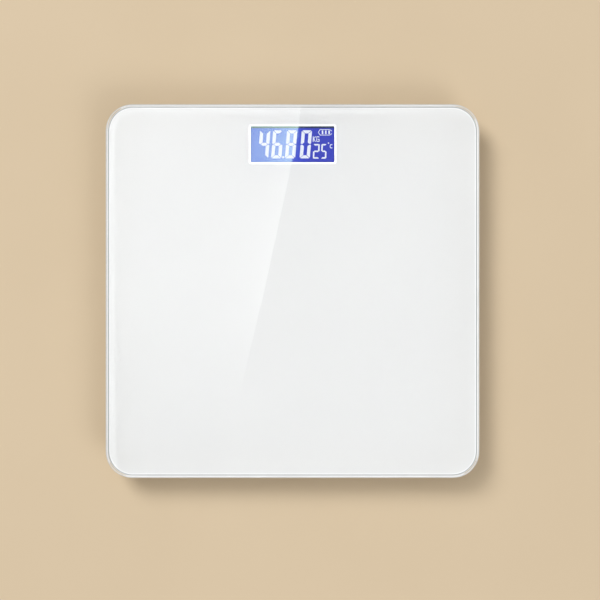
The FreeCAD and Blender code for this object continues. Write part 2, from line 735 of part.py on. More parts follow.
def make_board_parts(doc):
    """Processor under its resin cap, capacitors, resistors, crystal and thermistor."""
    top = size("board_low") + size("board_thick")
    resin = new_body(doc, "processor_cap")
    radius = size("resin_radius")
    high = size("resin_high")
    dome = Outline(resin, "dome_profile", role="XZ_Plane")
    curve = [(radius * out, top + high * up) for out, up in RESIN_CURVE]
    dome.polygon([(0, top)] + curve + [(0, top + high)])
    turn(resin, "dome", dome)
    bind(resin, "Placement.Base.x", size("resin_x"))
    bind(resin, "Placement.Base.y", size("resin_y"))
    cans = [drum(doc, f"can_{n}", size("can_x") + n * size("can_pitch"), size("can_y"), top,
                 size("can_radius"), size("can_high"))
            for n in range(2)]
    capacitors = group(doc, "board_capacitors", cans)
    chips = [block(doc, f"resistor_{n}", size("chip_x") + n * size("chip_pitch"), size("chip_y"),
                   top, size("chip_long"), size("chip_wide"), size("chip_high"))
             for n in range(5)]
    resistors = group(doc, "board_resistors", chips)
    crystal = block(doc, "crystal", size("crystal_x"), size("crystal_y"), top,
                    size("crystal_wide"), size("crystal_long"), size("crystal_high"))
    bead = doc.addObject("Part::Sphere", "thermistor")
    bind(bead, "Radius", size("bead_radius"))
    bind(bead, "Placement.Base.x", size("bead_x"))
    bind(bead, "Placement.Base.y", size("bead_y"))
    bind(bead, "Placement.Base.z", top + size("bead_radius"))
    return [resin, capacitors, resistors, crystal, bead]


def make_switch(doc):
    """Tact switch under the board, its plunger, and the unit button that works it."""
    x, y = size("button_x"), size("button_y")
    low = size("switch_low")
    high = size("board_low") - low
    side = size("switch_side")
    case = new_body(doc, "unit_switch")
    square = Outline(case, "switch_outline", low).rectangle(x, y, side, side)
    pad(case, "switch_case", square, high)
    bore = Outline(case, "switch_bore", low).circle(x, y, size("plunger_bore"))
    pocket(case, "switch_hole", bore, high - size("switch_roof"), upwards=True)
    button_top = low - size("button_play")
    plunger = drum(doc, "switch_plunger", x, y, button_top, size("plunger_radius"),
                   size("plunger_long"))
    button = new_body(doc, "unit_button")
    button_low = size("button_low")
    radius = size("button_radius")
    edge = size("edge_bevel")
    flange_low = size("tray_low") + size("tray_floor") + size("hair_gap")
    profile = Outline(button, "button_profile", role="XZ_Plane")
    profile.polygon([
        (0, button_low), (radius - edge, button_low), (radius, button_low + edge),
        (radius, flange_low), (size("button_flange"), flange_low),
        (size("button_flange"), button_top), (0, button_top),
    ])
    turn(button, "button_turned", profile)
    bind(button, "Placement.Base.x", x)
    bind(button, "Placement.Base.y", y)
    return [case, plunger, button]


def make_display_frame(doc):
    """White frame round the display, whose lip shows inside the window."""
    low = size("board_low") + size("board_thick")
    top = size("frame_top")
    mid_y = (size("frame_front") + size("frame_back")) / 2
    deep = size("frame_back") - size("frame_front")
    frame = new_body(doc, "lcd_frame")
    outline = Outline(frame, "frame_outline", low)
    outline.rounded(0, mid_y, size("frame_wide"), deep, size("frame_corner"))
    pad(frame, "frame_block", outline, top - low)
    room = Outline(frame, "frame_room", low)
    room.rectangle(0, mid_y, size("pane_wide") + 2 * size("pane_fit"),
                   deep - 2 * size("frame_wall"))
    pocket(frame, "frame_hollow", room, top - size("frame_lip") - low, upwards=True)
    sight = Outline(frame, "frame_sight", top)
    sight.rounded(0, size("display_y"), size("display_wide"), size("display_deep"),
                  size("sight_corner"))
    pocket(frame, "frame_window", sight, size("frame_lip"))
    return frame


def make_display(doc):
    """The display from the top down: polariser, two panes, polariser, light guide, reflector."""
    wide = size("pane_wide")
    back = size("pane_back")
    pane = size("pane_thick")
    film = size("polariser_thick")
    board_top = size("board_low") + size("board_thick")
    front_deep = size("front_pane_deep")
    rear_deep = size("rear_pane_deep")
    rear_y = back - rear_deep / 2
    film_wide = wide - 2 * size("polariser_inset")
    film_deep = rear_deep - 2 * size("polariser_inset")
    guide_wide = wide - 2 * size("guide_inset")
    film_low = size("frame_top") - size("frame_lip") - film
    front_low = film_low - pane
    rear_low = front_low - pane
    rear_film_low = rear_low - film
    guide_low = rear_film_low - size("guide_thick")
    zebra_y = back - front_deep + size("zebra_thick") / 2
    lamps = [block(doc, f"lamp_{side}_{row}", side * size("lamp_x"), rear_y + row * size("lamp_row"),
                   board_top, size("lamp_thick"), size("lamp_wide"), size("lamp_high"))
             for side in (-1, 1) for row in (-1, 1)]
    return [
        make_display_frame(doc),
        block(doc, "front_polariser", 0, size("display_y"), film_low, film_wide, film_deep, film),
        block(doc, "lcd_front_glass", 0, back - front_deep / 2, front_low, wide, front_deep, pane),
        block(doc, "lcd_rear_glass", 0, rear_y, rear_low, wide, rear_deep, pane),
        block(doc, "rear_polariser", 0, rear_y, rear_film_low, film_wide, film_deep, film),
        block(doc, "light_guide", 0, rear_y, guide_low, guide_wide, rear_deep,
              size("guide_thick")),
        block(doc, "reflector_sheet", 0, rear_y, board_top, guide_wide, rear_deep,
              guide_low - board_top),
        block(doc, "zebra_strip", 0, zebra_y, board_top, size("zebra_long"), size("zebra_thick"),
              front_low - board_top),
        group(doc, "backlight_lamps", lamps),
    ]


# ---------------------------------------------------------------- battery bay

def door_hook(body, number, start):
    """One hook that reaches over the tray floor's edge."""
    low = size("tray_low") + size("door_thick") - size("edge_bevel")
    ledge = size("bay_y") - size("opening_wide") / 2
    hook_low = size("hook_low")
    hook_top = hook_low + size("hook_thick")
    tip = ledge - size("hook_long")
    neck = ledge + size("hook_neck")
    root = ledge + size("hook_root")
    profile = Outline(body, f"hook_profile_{number}", start, role="YZ_Plane")
    profile.polygon([(root, low), (root, hook_top), (tip, hook_top), (tip, hook_low),
                     (neck, hook_low), (neck, low)])
    pad(body, f"hook_{number}", profile, size("hook_wide"))


def door_latch(body):
    """The spring latch: a finger between two slits, with its riser and grip grooves."""
    low = size("tray_low")
    thick = size("door_thick")
    edge = size("bay_y") + size("opening_wide") / 2 - size("door_gap")
    slit = size("latch_slit")
    wide = size("latch_wide")
    slits = Outline(body, "latch_slits", low)
    for side in (-1, 1):
        slits.rectangle(side * (wide + slit) / 2, edge, slit, 2 * size("latch_long"))
    pocket(body, "latch_slit_cuts", slits, thick, upwards=True)
    riser = Outline(body, "latch_finger", low + thick - size("edge_bevel"))
    riser.rectangle(0, edge - size("latch_thick") / 2, wide, size("latch_thick"))
    pad(body, "latch_riser", riser, size("latch_high"))
    grip = Outline(body, "latch_grip", low)
    for row in (1, 2, 3):
        grip.rectangle(0, edge - row * size("grip_pitch"), wide - 2 * size("slack"),
                       size("grip_wide"))
    pocket(body, "latch_grip_cuts", grip, size("grip_deep"), upwards=True)


def make_door(doc):
    """Battery door: two hooks on one long edge and a spring latch on the other."""
    body = new_body(doc, "battery_door")
    low = size("tray_low")
    thick = size("door_thick")
    gap = size("door_gap")
    long = size("opening_long") - 2 * gap
    front = size("bay_y") - size("opening_wide") / 2 + gap
    back = size("bay_y") + size("opening_wide") / 2 - gap
    section = Outline(body, "door_section", -long / 2, role="YZ_Plane")
    section.polygon([(front, low + thick), (front + thick, low), (back, low),
                     (back, low + thick)])
    pad(body, "door_panel", section, long)
    for number, side in enumerate((-1, 1)):
        door_hook(body, number, side * size("hook_reach") - size("hook_wide") / 2)
    door_latch(body)
    return body


def make_batteries(doc):
    """Two AAA cells, side by side and end for end."""
    cells = []
    radius = size("cell_radius")
    body_long = size("battery_long") - size("nipple_long")
    tip = size("bay_long") / 2 - size("contact_thick") - 2 * size("contact_inset")
    for number, side in ((1, 1), (2, -1)):
        body = new_body(doc, f"battery_{number}")
        profile = Outline(body, "battery_profile", role="XZ_Plane")
        edge = size("cell_edge")
        profile.polygon([
            (0, 0), (radius - edge, 0), (radius, edge), (radius, body_long - edge),
            (radius - edge, body_long), (size("nipple_radius"), body_long),
            (size("nipple_radius"), size("battery_long")), (0, size("battery_long")),
        ])
        turn(body, "battery_turned", profile)
        body.Placement = Placement(Vector(), Rotation(Vector(0, 0, 1), Vector(side, 0, 0)))
        bind(body, "Placement.Base.x", side * (tip - size("battery_long")))
        bind(body, "Placement.Base.y", size("bay_y") + side * size("battery_row"))
        bind(body, "Placement.Base.z", size("battery_mid"))
        cells.append(body)
    return cells


def make_contacts(doc):
    """Sprung-steel battery contacts: one bridge, and two plates with tails for the leads."""
    thick = size("contact_thick")
    high = size("contact_high")
    wide = size("contact_wide")
    row = size("battery_row")
    mid = size("bay_y")
    place = size("bay_long") / 2 - thick / 2 - size("contact_inset")
    low = size("battery_mid") - high / 2
    bridge = block(doc, "contact_bridge", -place, mid, low, thick, 2 * row + wide, high)
    pieces = [bridge]
    for label, side in (("contact_positive", 1), ("contact_negative", -1)):
        plate = block(doc, f"{label}_plate", place, mid + side * row, low, thick, wide, high)
        tail = block(doc, f"{label}_tail", place + size("tail_long") / 2, mid + side * row,
                     size("tail_low") + size("tail_gap"), size("tail_long"), size("tail_wide"),
                     thick)
        pieces.append(fused(doc, label, [plate, tail]))
    return pieces


# ---------------------------------------------------------------- wires

def rounded_path(points):
    """Straight runs joined by tangent arcs, each as large as its two runs allow."""
    spots = [Vector(*p) for p in points]
    edges = []
    here = spots[0]
    for before, corner, after in zip(spots, spots[1:], spots[2:]):
        back = (before - corner).normalize()
        ahead = (after - corner).normalize()
        half_turn = (math.pi - back.getAngle(ahead)) / 2
        shorter = min((before - corner).Length, (after - corner).Length)
        cut = min(0.45 * shorter, SIZES["wire_bend"] * math.tan(half_turn))
        radius = cut / math.tan(half_turn)
        middle = (back + ahead).normalize()
        deep = radius / math.cos(half_turn) - radius
        enter = corner + back * cut
        leave = corner + ahead * cut
        edges.append(Part.LineSegment(here, enter).toShape())
        edges.append(Part.Arc(enter, corner + middle * deep, leave).toShape())
        here = leave
    edges.append(Part.LineSegment(here, spots[-1]).toShape())
    return Part.Wire(edges)


def tube(points, radius):
    """A solid round wire along a rounded path, checked against its section times its length."""
    path = rounded_path(points)
    along = path.Edges[0].tangentAt(path.Edges[0].FirstParameter)
    start = path.Edges[0].valueAt(path.Edges[0].FirstParameter)
    ring = Part.Wire([Part.makeCircle(radius, start, along)])
    solid = path.makePipeShell([ring], True, False)
    wanted = math.pi * radius ** 2 * path.Length
    if abs(solid.Volume - wanted) > 0.02 * wanted:
        raise RuntimeError(f"wire volume {solid.Volume:.2f} is not {wanted:.2f}")
    return solid


def spring_points(centre, way):
    """The coil of one contact spring, narrowing from its plate towards its cell."""
    steps = round(SIZES["spring_turns"] * SIZES["spring_steps"])
    points = []
    for step in range(steps + 1):
        part = step / steps
        angle = 2 * math.pi * step / SIZES["spring_steps"]
        radius = SIZES["spring_base"] + part * (SIZES["spring_tip"] - SIZES["spring_base"])
        points.append((centre.x + way * part * SIZES["spring_long"],
                       centre.y + radius * math.cos(angle), centre.z + radius * math.sin(angle)))
    return points


def make_springs(doc):
    """The two coil springs that press the cells' flat ends."""
    radius = SIZES["spring_wire"] / 2
    plate = SIZES["bay_long"] / 2 - SIZES["contact_thick"] - SIZES["contact_inset"]
    coils = []
    for side in (1, -1):
        centre = Vector(-side * (plate - radius - SIZES["contact_inset"]),
                        SIZES["bay_y"] + side * SIZES["battery_row"], SIZES["battery_mid"])
        coils.append(tube(spring_points(centre, side), radius))
    return shaped(doc, "contact_springs", Part.makeCompound(coils))


def rib_top():
    """The level of the tray's rib tops."""
    return SIZES["tray_low"] + SIZES["tray_floor"] + SIZES["rib_high"]


def board_top():
    """The level of the board's upper face."""
    return SIZES["board_low"] + SIZES["board_thick"]


def cell_wire_points(name, shift):
    """The route of one gauge wire from its load cell to the board."""
    sx, sy, _ = CORNERS[name]
    reach = SIZES["foot_reach"]
    over_cell = SIZES["cell_top"] + SIZES["wire_over_cell"]
    over_ribs = rib_top() + SIZES["wire_over_rib"]
    over_board = board_top() + SIZES["wire_lift"]
    end = SIZES["board_right"] if sx > 0 else -SIZES["board_left"]
    end = end - SIZES["wire_landing"]
    if sy > 0:
        y = reach + shift
        return [(sx * (reach + 1), y, over_cell), (sx * (reach - SIZES["wire_way_out"]), y, over_cell),
                (sx * (end + SIZES["wire_drop"]), y, over_board), (sx * end, y, over_board)]
    x = reach - shift
    lane = SIZES["wire_lane"] - shift
    turn_y = SIZES["wire_turn_y"] - shift
    rise_y = SIZES["wire_rise_y"]
    end_y = SIZES["wire_end_y"] - shift
    way_out = -reach + SIZES["wire_way_out"]
    return [(sx * x, -reach - 1, over_cell), (sx * x, way_out, over_cell),
            (sx * x, way_out + SIZES["wire_drop"], over_ribs), (sx * x, turn_y, over_ribs),
            (sx * lane, turn_y, over_ribs), (sx * lane, rise_y, over_ribs),
            (sx * lane, end_y, over_board), (sx * end, end_y, over_board)]


def make_cell_wires(doc, name):
    """The three wires of one load cell, side by side."""
    wires = [tube(cell_wire_points(name, step * SIZES["wire_step"]), SIZES["wire_radius"])
             for step in (-1, 0, 1)]
    return shaped(doc, f"cell_wires_{name}", Part.makeCompound(wires))


def make_battery_leads(doc):
    """The two leads from the contact tails to the board."""
    start = SIZES["bay_long"] / 2 + SIZES["tail_long"]
    drop = SIZES["lead_drop"]
    over_ribs = rib_top() + SIZES["lead_over_rib"]
    over_board = board_top() + SIZES["wire_lift"]
    over_tail = (SIZES["tail_low"] + SIZES["tail_gap"] + SIZES["contact_thick"]
                 + SIZES["wire_lift"])
    leads = []
    for side, lane, end in LEADS:
        y = SIZES["bay_y"] + side * SIZES["battery_row"]
        points = [(start - SIZES["lead_back"], y, over_tail), (start + drop, y, over_tail),
                  (lane - drop, y, over_ribs), (lane, y + SIZES["lead_turn"], over_ribs),
                  (lane, SIZES["lead_rise_y"], over_ribs),
                  (end, SIZES["lead_board_y"], over_board), (end, SIZES["lead_end_y"], over_board)]
        leads.append(tube(points, SIZES["wire_radius"]))
    return shaped(doc, "battery_leads", Part.makeCompound(leads))


# ---------------------------------------------------------------- fasteners and label

def pan_screw(shank, head, head_high, length):
    """A pan-head screw with a cross recess, its head's seat at the origin, pointing down."""
    tip_share, round_share, arm_share, slot_share = 0.35, 0.45, 0.55, 0.2
    body = Part.makeCylinder(shank, length, Vector(0, 0, -length))
    tip = Part.makeCone(shank * tip_share, shank, shank, Vector(0, 0, -length - shank))
    dome = Part.makeCylinder(head, head_high)
    upper = [edge for edge in dome.Edges if edge.BoundBox.ZMin > TOUCH]
    dome = dome.makeFillet(head_high * round_share, upper)
    screw = dome.fuse([body, tip]).removeSplitter()
    arm, slot = head * arm_share, head * slot_share
    floor = head_high * round_share
    across = Part.makeBox(2 * arm, 2 * slot, head_high, Vector(-arm, -slot, floor))
    along = Part.makeBox(2 * slot, 2 * arm, head_high, Vector(-slot, -arm, floor))
    return screw.cut(across.fuse(along))


def make_screws(doc):
    """Sixteen holder screws and four board screws."""
    reach = SIZES["foot_reach"]
    ear = SIZES["ear_reach"]
    seat = SIZES["tower_top"] + SIZES["holder_flange_high"]
    fit = SIZES["thread_fit"]
    big = pan_screw(SIZES["ear_pilot"] - fit, SIZES["big_head"], SIZES["big_head_high"],
                    SIZES["big_long"])
    small = pan_screw(SIZES["post_pilot"] - fit, SIZES["small_head"], SIZES["small_head_high"],
                      SIZES["small_long"])
    holders = [big.translated(Vector(sx * reach + ex * ear, sy * reach + ey * ear, seat))
               for sx, sy, _ in CORNERS.values() for ex in (-1, 1) for ey in (-1, 1)]
    boards = [small.translated(Vector(x.number, y.number, board_top()))
              for x, y in post_places()]
    return [shaped(doc, "holder_screws", Part.makeCompound(holders)),
            shaped(doc, "board_screws", Part.makeCompound(boards))]


def make_label(doc):
    """Blank rating label in its recess under the tray."""
    body = new_body(doc, "rating_label")
    low = size("tray_low") + size("label_deep") - size("label_thick")
    outline = Outline(body, "label_sheet", low)
    outline.rounded(0, size("label_y"), size("label_long"), size("label_wide"),
                    size("label_corner"))
    pad(body, "label_pad", outline, size("label_thick"))
    return body


# ---------------------------------------------------------------- checks and files

def check_features(doc):
    """Stops if an object failed, or if a cut removed nothing."""
    for thing in doc.Objects:
        if {"Invalid", "Error"} & set(thing.State):
            raise RuntimeError(f"{thing.Label} failed: {thing.State}")
        cuts = thing.isDerivedFrom("PartDesign::Pocket") or thing.isDerivedFrom("PartDesign::Groove")
        if cuts and thing.Shape.Volume >= thing.BaseFeature.Shape.Volume - TOUCH:
            raise RuntimeError(f"{thing.Label} cuts nothing")


def write_parts(nodes):
    """Checks each node's shape and writes its file."""
    os.makedirs("parts", exist_ok=True)
    for node in nodes:
        shape = node.Shape
        if shape.isNull() or not shape.isValid() or not shape.Solids:
            raise RuntimeError(f"{node.Label} has no valid solid")
        shape.exportStep(f"parts/{node.Label}.step")
        print(f"{node.Label}: {len(shape.Solids)} solid(s), {shape.Volume:.1f} mm3")


def main():
    """Builds the document and writes one file per sub-part."""
    doc = FreeCAD.newDocument("bathroom_scale")
    make_sheet(doc)
    nodes = [make_glass(doc), make_film(doc), make_tape(doc), make_tray(doc), make_board(doc),
             make_door(doc), make_label(doc), make_springs(doc), make_battery_leads(doc)]
    nodes += make_board_parts(doc)
    nodes += make_switch(doc)
    nodes += make_display(doc)
    nodes += make_batteries(doc)
    nodes += make_contacts(doc)
    nodes += make_screws(doc)
    for name in CORNERS:
        nodes += [make_foot_cap(doc, name), make_rubber(doc, name), make_load_cell(doc, name),
                  make_gauge(doc, name), make_holder(doc, name), make_cell_wires(doc, name)]
    doc.recompute()
    check_features(doc)
    write_parts(nodes)


main()
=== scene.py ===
"""Looks of a square digital bathroom scale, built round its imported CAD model.

Lengths in the dataclasses are in millimetres, and become metres where a mesh or light is made.
"""

import logging
import math
from collections.abc import Iterable, Mapping, Sequence
from dataclasses import dataclass, field
from enum import Enum

import bmesh
import bpy
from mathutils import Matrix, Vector


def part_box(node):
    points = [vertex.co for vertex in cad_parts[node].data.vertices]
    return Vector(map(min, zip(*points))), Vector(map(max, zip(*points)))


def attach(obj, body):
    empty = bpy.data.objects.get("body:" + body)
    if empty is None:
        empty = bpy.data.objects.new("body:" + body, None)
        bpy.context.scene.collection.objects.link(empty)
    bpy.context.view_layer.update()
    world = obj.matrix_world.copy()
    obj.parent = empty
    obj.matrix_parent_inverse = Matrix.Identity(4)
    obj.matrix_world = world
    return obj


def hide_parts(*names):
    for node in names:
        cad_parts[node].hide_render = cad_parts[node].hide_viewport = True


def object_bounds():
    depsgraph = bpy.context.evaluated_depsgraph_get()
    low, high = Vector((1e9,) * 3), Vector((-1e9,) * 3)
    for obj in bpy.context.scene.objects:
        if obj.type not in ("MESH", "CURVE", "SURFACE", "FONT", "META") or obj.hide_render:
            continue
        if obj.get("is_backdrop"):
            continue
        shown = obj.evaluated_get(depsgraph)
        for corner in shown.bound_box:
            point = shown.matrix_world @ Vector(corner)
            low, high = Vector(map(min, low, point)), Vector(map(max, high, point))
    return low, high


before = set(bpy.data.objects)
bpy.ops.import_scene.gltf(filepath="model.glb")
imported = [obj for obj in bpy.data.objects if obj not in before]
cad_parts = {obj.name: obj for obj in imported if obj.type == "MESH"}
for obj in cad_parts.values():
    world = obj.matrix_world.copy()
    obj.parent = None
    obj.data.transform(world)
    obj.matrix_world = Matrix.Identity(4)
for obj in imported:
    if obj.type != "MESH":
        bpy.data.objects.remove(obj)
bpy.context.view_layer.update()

MM = 0.001
TURN = 2 * math.pi
MITRE_LIMIT = 0.35
Point = tuple[float, float]
Colour = tuple[float, float, float]
Link = bpy.types.NodeSocket
log = logging.getLogger("bathroom_scale")


class Body(Enum):
    """The bodies that new pieces ride."""

    PLATFORM = "platform"
    DOOR = "battery_door"


class Corner(Enum):
    """The scale's four corners, each with its weighing foot."""

    FRONT_LEFT = "front_left"
    FRONT_RIGHT = "front_right"
    REAR_LEFT = "rear_left"
    REAR_RIGHT = "rear_right"


class Segment(Enum):
    """The seven bars of a display digit."""

    TOP = "top"
    UPPER_RIGHT = "upper_right"
    LOWER_RIGHT = "lower_right"
    BOTTOM = "bottom"
    LOWER_LEFT = "lower_left"
    UPPER_LEFT = "upper_left"
    MIDDLE = "middle"


DIGITS: Mapping[str, tuple[Segment, ...]] = {
    "0": tuple(s for s in Segment if s is not Segment.MIDDLE),
    "2": (Segment.TOP, Segment.UPPER_RIGHT, Segment.MIDDLE, Segment.LOWER_LEFT, Segment.BOTTOM),
    "4": (Segment.UPPER_LEFT, Segment.UPPER_RIGHT, Segment.MIDDLE, Segment.LOWER_RIGHT),
    "5": (Segment.TOP, Segment.UPPER_LEFT, Segment.MIDDLE, Segment.LOWER_RIGHT, Segment.BOTTOM),
    "6": tuple(s for s in Segment if s is not Segment.UPPER_RIGHT),
    "8": tuple(Segment),
}


# Node trees


class Bench:
    """Adds nodes to one node tree and joins them."""

    def __init__(self, tree: bpy.types.NodeTree) -> None:
        """Takes the tree and clears it."""
        self.tree = tree
        self.tree.nodes.clear()

    def add(self, kind: str, settings: Mapping[str, object] | None = None,
            **sockets: object) -> bpy.types.Node:
        """Adds one node.

        Args:
            kind: the node's type, without the ShaderNode in front.
            settings: the node's own properties.
            **sockets: a value or a link for each input, with _ for a space in its name.

        Returns:
            The new node.
        """
        node = self.tree.nodes.new("ShaderNode" + kind)
        for name, value in (settings or {}).items():
            setattr(node, name, value)
        for name, value in sockets.items():
            self.feed(node.inputs[name.replace("_", " ")], value)
        return node

    def feed(self, socket: Link, value: object) -> None:
        """Links an output to the socket, or sets the socket's own value."""
        if isinstance(value, bpy.types.NodeSocket):
            self.tree.links.new(value, socket)
        else:
            socket.default_value = value

    def math(self, operation: str, *values: object) -> Link:
        """Adds a Math node.

        Args:
            operation: the node's operation.
            *values: its inputs in order.

        Returns:
            Its output.
        """
        node = self.add("Math", {"operation": operation})
        for socket, value in zip(node.inputs, values):
            self.feed(socket, value)
        return node.outputs[0]

    def ramp(self, value: object, low: float, high: float, start: float = 0.0,
             end: float = 1.0) -> Link:
        """Maps low..high smoothly to start..end.

        Args:
            value: what is mapped.
            low: where the rise begins.
            high: where it ends.
            start: the result at low.
            end: the result at high.

        Returns:
            The mapped value.
        """
        node = self.add("MapRange", {"interpolation_type": "SMOOTHSTEP"}, Value=value)
        for name, number in zip(("From Min", "From Max", "To Min", "To Max"),
                                (low, high, start, end)):
            self.feed(node.inputs[name], number)
        return node.outputs["Result"]

    def blend(self, share: object, first: object, second: object) -> Link:
        """Mixes two colours.

        Args:
            share: how much of the second colour shows.
            first: the first colour.
            second: the second colour.

        Returns:
            The mixed colour.
        """
        node = self.add("Mix", {"data_type": "RGBA"})
        colours = [(*c, 1.0) if isinstance(c, tuple) else c for c in (first, second)]
        for index, value in zip((0, 6, 7), (share, *colours)):
            self.feed(node.inputs[index], value)
        return node.outputs[2]

    def place(self, stretch: Colour = (1.0, 1.0, 1.0)) -> Link:
        """Gives the place on the object in metres, stretched along each axis."""
        where = self.add("TexCoord").outputs["Object"]
        if stretch == (1.0, 1.0, 1.0):
            return where
        return self.add("Mapping", Vector=where, Scale=stretch).outputs["Vector"]

    def noise(self, scale: object, where: object, detail: float = 3.0,
              roughness: float = 0.5) -> Link:
        """Adds fractal noise.

        Args:
            scale: cycles per metre.
            where: the place to read it at.
            detail: how many finer layers it has.
            roughness: how strong the finer layers are.

        Returns:
            Its value.
        """
        node = self.add("TexNoise", Vector=where, Scale=scale, Detail=detail,
                        Roughness=roughness)
        return node.outputs["Fac"]


class Shelf:
    """The effects that several finishes share, each a node group made once."""

    def __init__(self) -> None:
        """Makes every group."""
        self.grain = self._grain()
        self.wear = self._wear()
        self.dust = self._dust()
        self.streaks = self._streaks()
        self.smudge = self._smudge()

    @staticmethod
    def _open(name: str, inputs: Mapping[str, float],
              outputs: Sequence[str]) -> tuple[Bench, bpy.types.Node, bpy.types.Node]:
        """Starts a group.

        Args:
            name: the group's name.
            inputs: each input number with its usual value.
            outputs: the names of its output values.

        Returns:
            Its bench, its input node and its output node.
        """
        tree = bpy.data.node_groups.new(name, "ShaderNodeTree")
        for label, value in inputs.items():
            tree.interface.new_socket(label, in_out="INPUT",
                                      socket_type="NodeSocketFloat").default_value = value
        for label in outputs:
            tree.interface.new_socket(label, in_out="OUTPUT", socket_type="NodeSocketFloat")
        bench = Bench(tree)
        return bench, tree.nodes.new("NodeGroupInput"), tree.nodes.new("NodeGroupOutput")

    def _grain(self) -> bpy.types.NodeTree:
        """Pitted mould texture: Height for a bump and Tone for colour and roughness."""
        bench, given, out = self._open("mould_grain", {"Cells": 1500.0}, ("Height", "Tone"))
        where = bench.place()
        pits = bench.add("TexVoronoi", {"feature": "SMOOTH_F1"}, Vector=where,
                         Scale=given.outputs["Cells"], Smoothness=0.6)
        fine = bench.noise(bench.math("MULTIPLY", given.outputs["Cells"], 2.3), where)
        both = bench.math("ADD", pits.outputs["Distance"], bench.math("MULTIPLY", fine, 0.6))
        bench.feed(out.inputs["Height"], both)
        cloud = bench.noise(bench.math("MULTIPLY", given.outputs["Cells"], 0.03), where, 5.0)
        bench.feed(out.inputs["Tone"], bench.ramp(cloud, 0.3, 0.7))
        return bench.tree

    def _wear(self) -> bpy.types.NodeTree:
        """Rubbed edges: Mask is 1 on edges that handling has polished."""
        bench, given, out = self._open("edge_wear", {"Width": 0.0006, "Amount": 1.0}, ("Mask",))
        soft = bench.add("Bevel", {"samples": 4}, Radius=given.outputs["Width"])
        flat = bench.add("NewGeometry")
        same = bench.add("VectorMath", {"operation": "DOT_PRODUCT"})
        bench.feed(same.inputs[0], soft.outputs["Normal"])
        bench.feed(same.inputs[1], flat.outputs["Normal"])
        edge = bench.ramp(same.outputs["Value"], 0.99, 0.8)
        patchy = bench.ramp(bench.noise(260.0, bench.place(), 4.0), 0.35, 0.6)
        worn = bench.math("MULTIPLY", edge, patchy)
        bench.feed(out.inputs["Mask"], bench.math("MULTIPLY", worn, given.outputs["Amount"]))
        return bench.tree

    def _dust(self) -> bpy.types.NodeTree:
        """Settled dust: Mask is higher on surfaces that face up, in soft patches."""
        bench, given, out = self._open("settled_dust", {"Amount": 0.2}, ("Mask",))
        up = bench.add("SeparateXYZ", Vector=bench.add("NewGeometry").outputs["Normal"])
        facing = bench.ramp(up.outputs["Z"], 0.2, 0.9)
        where = bench.place()
        patches = bench.ramp(bench.noise(70.0, where, 6.0, 0.65), 0.4, 0.75)
        specks = bench.ramp(bench.noise(2600.0, where, 2.0), 0.62, 0.7)
        laid = bench.math("ADD", patches, bench.math("MULTIPLY", specks, 0.5))
        part = bench.math("MULTIPLY", laid, facing)
        bench.feed(out.inputs["Mask"], bench.math("MULTIPLY", part, given.outputs["Amount"]))
        return bench.tree

    def _streaks(self) -> bpy.types.NodeTree:
        """Fine lines from rolling or drawing metal, along X: Height and Tone."""
        bench, given, out = self._open("rolled_streaks", {"Lines": 3000.0}, ("Height", "Tone"))
        where = bench.place((0.04, 1.0, 1.0))
        lines = bench.noise(given.outputs["Lines"], where, 4.0, 0.7)
        bench.feed(out.inputs["Height"], lines)
        cloud = bench.noise(90.0, bench.place(), 5.0, 0.6)
        tone = bench.math("ADD", bench.math("MULTIPLY", lines, 0.5),
                          bench.math("MULTIPLY", cloud, 0.5))
        bench.feed(out.inputs["Tone"], bench.ramp(tone, 0.35, 0.65))
        return bench.tree

    def _smudge(self) -> bpy.types.NodeTree:
        """Wiped marks left by hands and cloths: Mask."""
        bench, given, out = self._open("wipe_marks", {"Amount": 1.0}, ("Mask",))
        where = bench.place((1.0, 0.35, 1.0))
        swirl = bench.add("TexNoise", Vector=where, Scale=38.0, Detail=4.0, Distortion=1.6)
        marks = bench.ramp(swirl.outputs["Fac"], 0.48, 0.72)
        bench.feed(out.inputs["Mask"], bench.math("MULTIPLY", marks, given.outputs["Amount"]))
        return bench.tree

    @staticmethod
    def use(bench: Bench, group: bpy.types.NodeTree, **values: float) -> bpy.types.Node:
        """Places a group in a material.

        Args:
            bench: the material's bench.
            group: one of the shelf's groups.
            **values: the group's input numbers.

        Returns:
            The group node.
        """
        node = bench.tree.nodes.new("ShaderNodeGroup")
        node.node_tree = group
        for name, value in values.items():
            node.inputs[name].default_value = value
        return node


# Finishes


@dataclass(frozen=True)
class Finish:
    """A finish, which makes one material."""

    name: str

    def start(self) -> tuple[bpy.types.Material, Bench, bpy.types.Node]:
        """Makes an empty material.

        Returns:
            The material, its bench, and its Principled shader joined to the output.
        """
        material = bpy.data.materials.new(self.name)
        material.use_nodes = True
        bench = Bench(material.node_tree)
        shader = bench.add("BsdfPrincipled")
        out = bench.add("OutputMaterial")
        bench.feed(out.inputs["Surface"], shader.outputs["BSDF"])
        return material, bench, shader

    @staticmethod
    def bump(bench: Bench, shader: bpy.types.Node, height: Link, deep: float) -> None:
        """Raises the surface by a height map.

        Args:
            bench: the material's bench.
            shader: the shader that takes the normal.
            height: the height map, from 0 to 1.
            deep: its full height in millimetres.
        """
        node = bench.add("Bump", Strength=1.0, Distance=deep * MM, Height=height)
        bench.feed(shader.inputs["Normal"], node.outputs["Normal"])

    def make(self, shelf: Shelf) -> bpy.types.Material:
        """Makes the material."""
        raise NotImplementedError


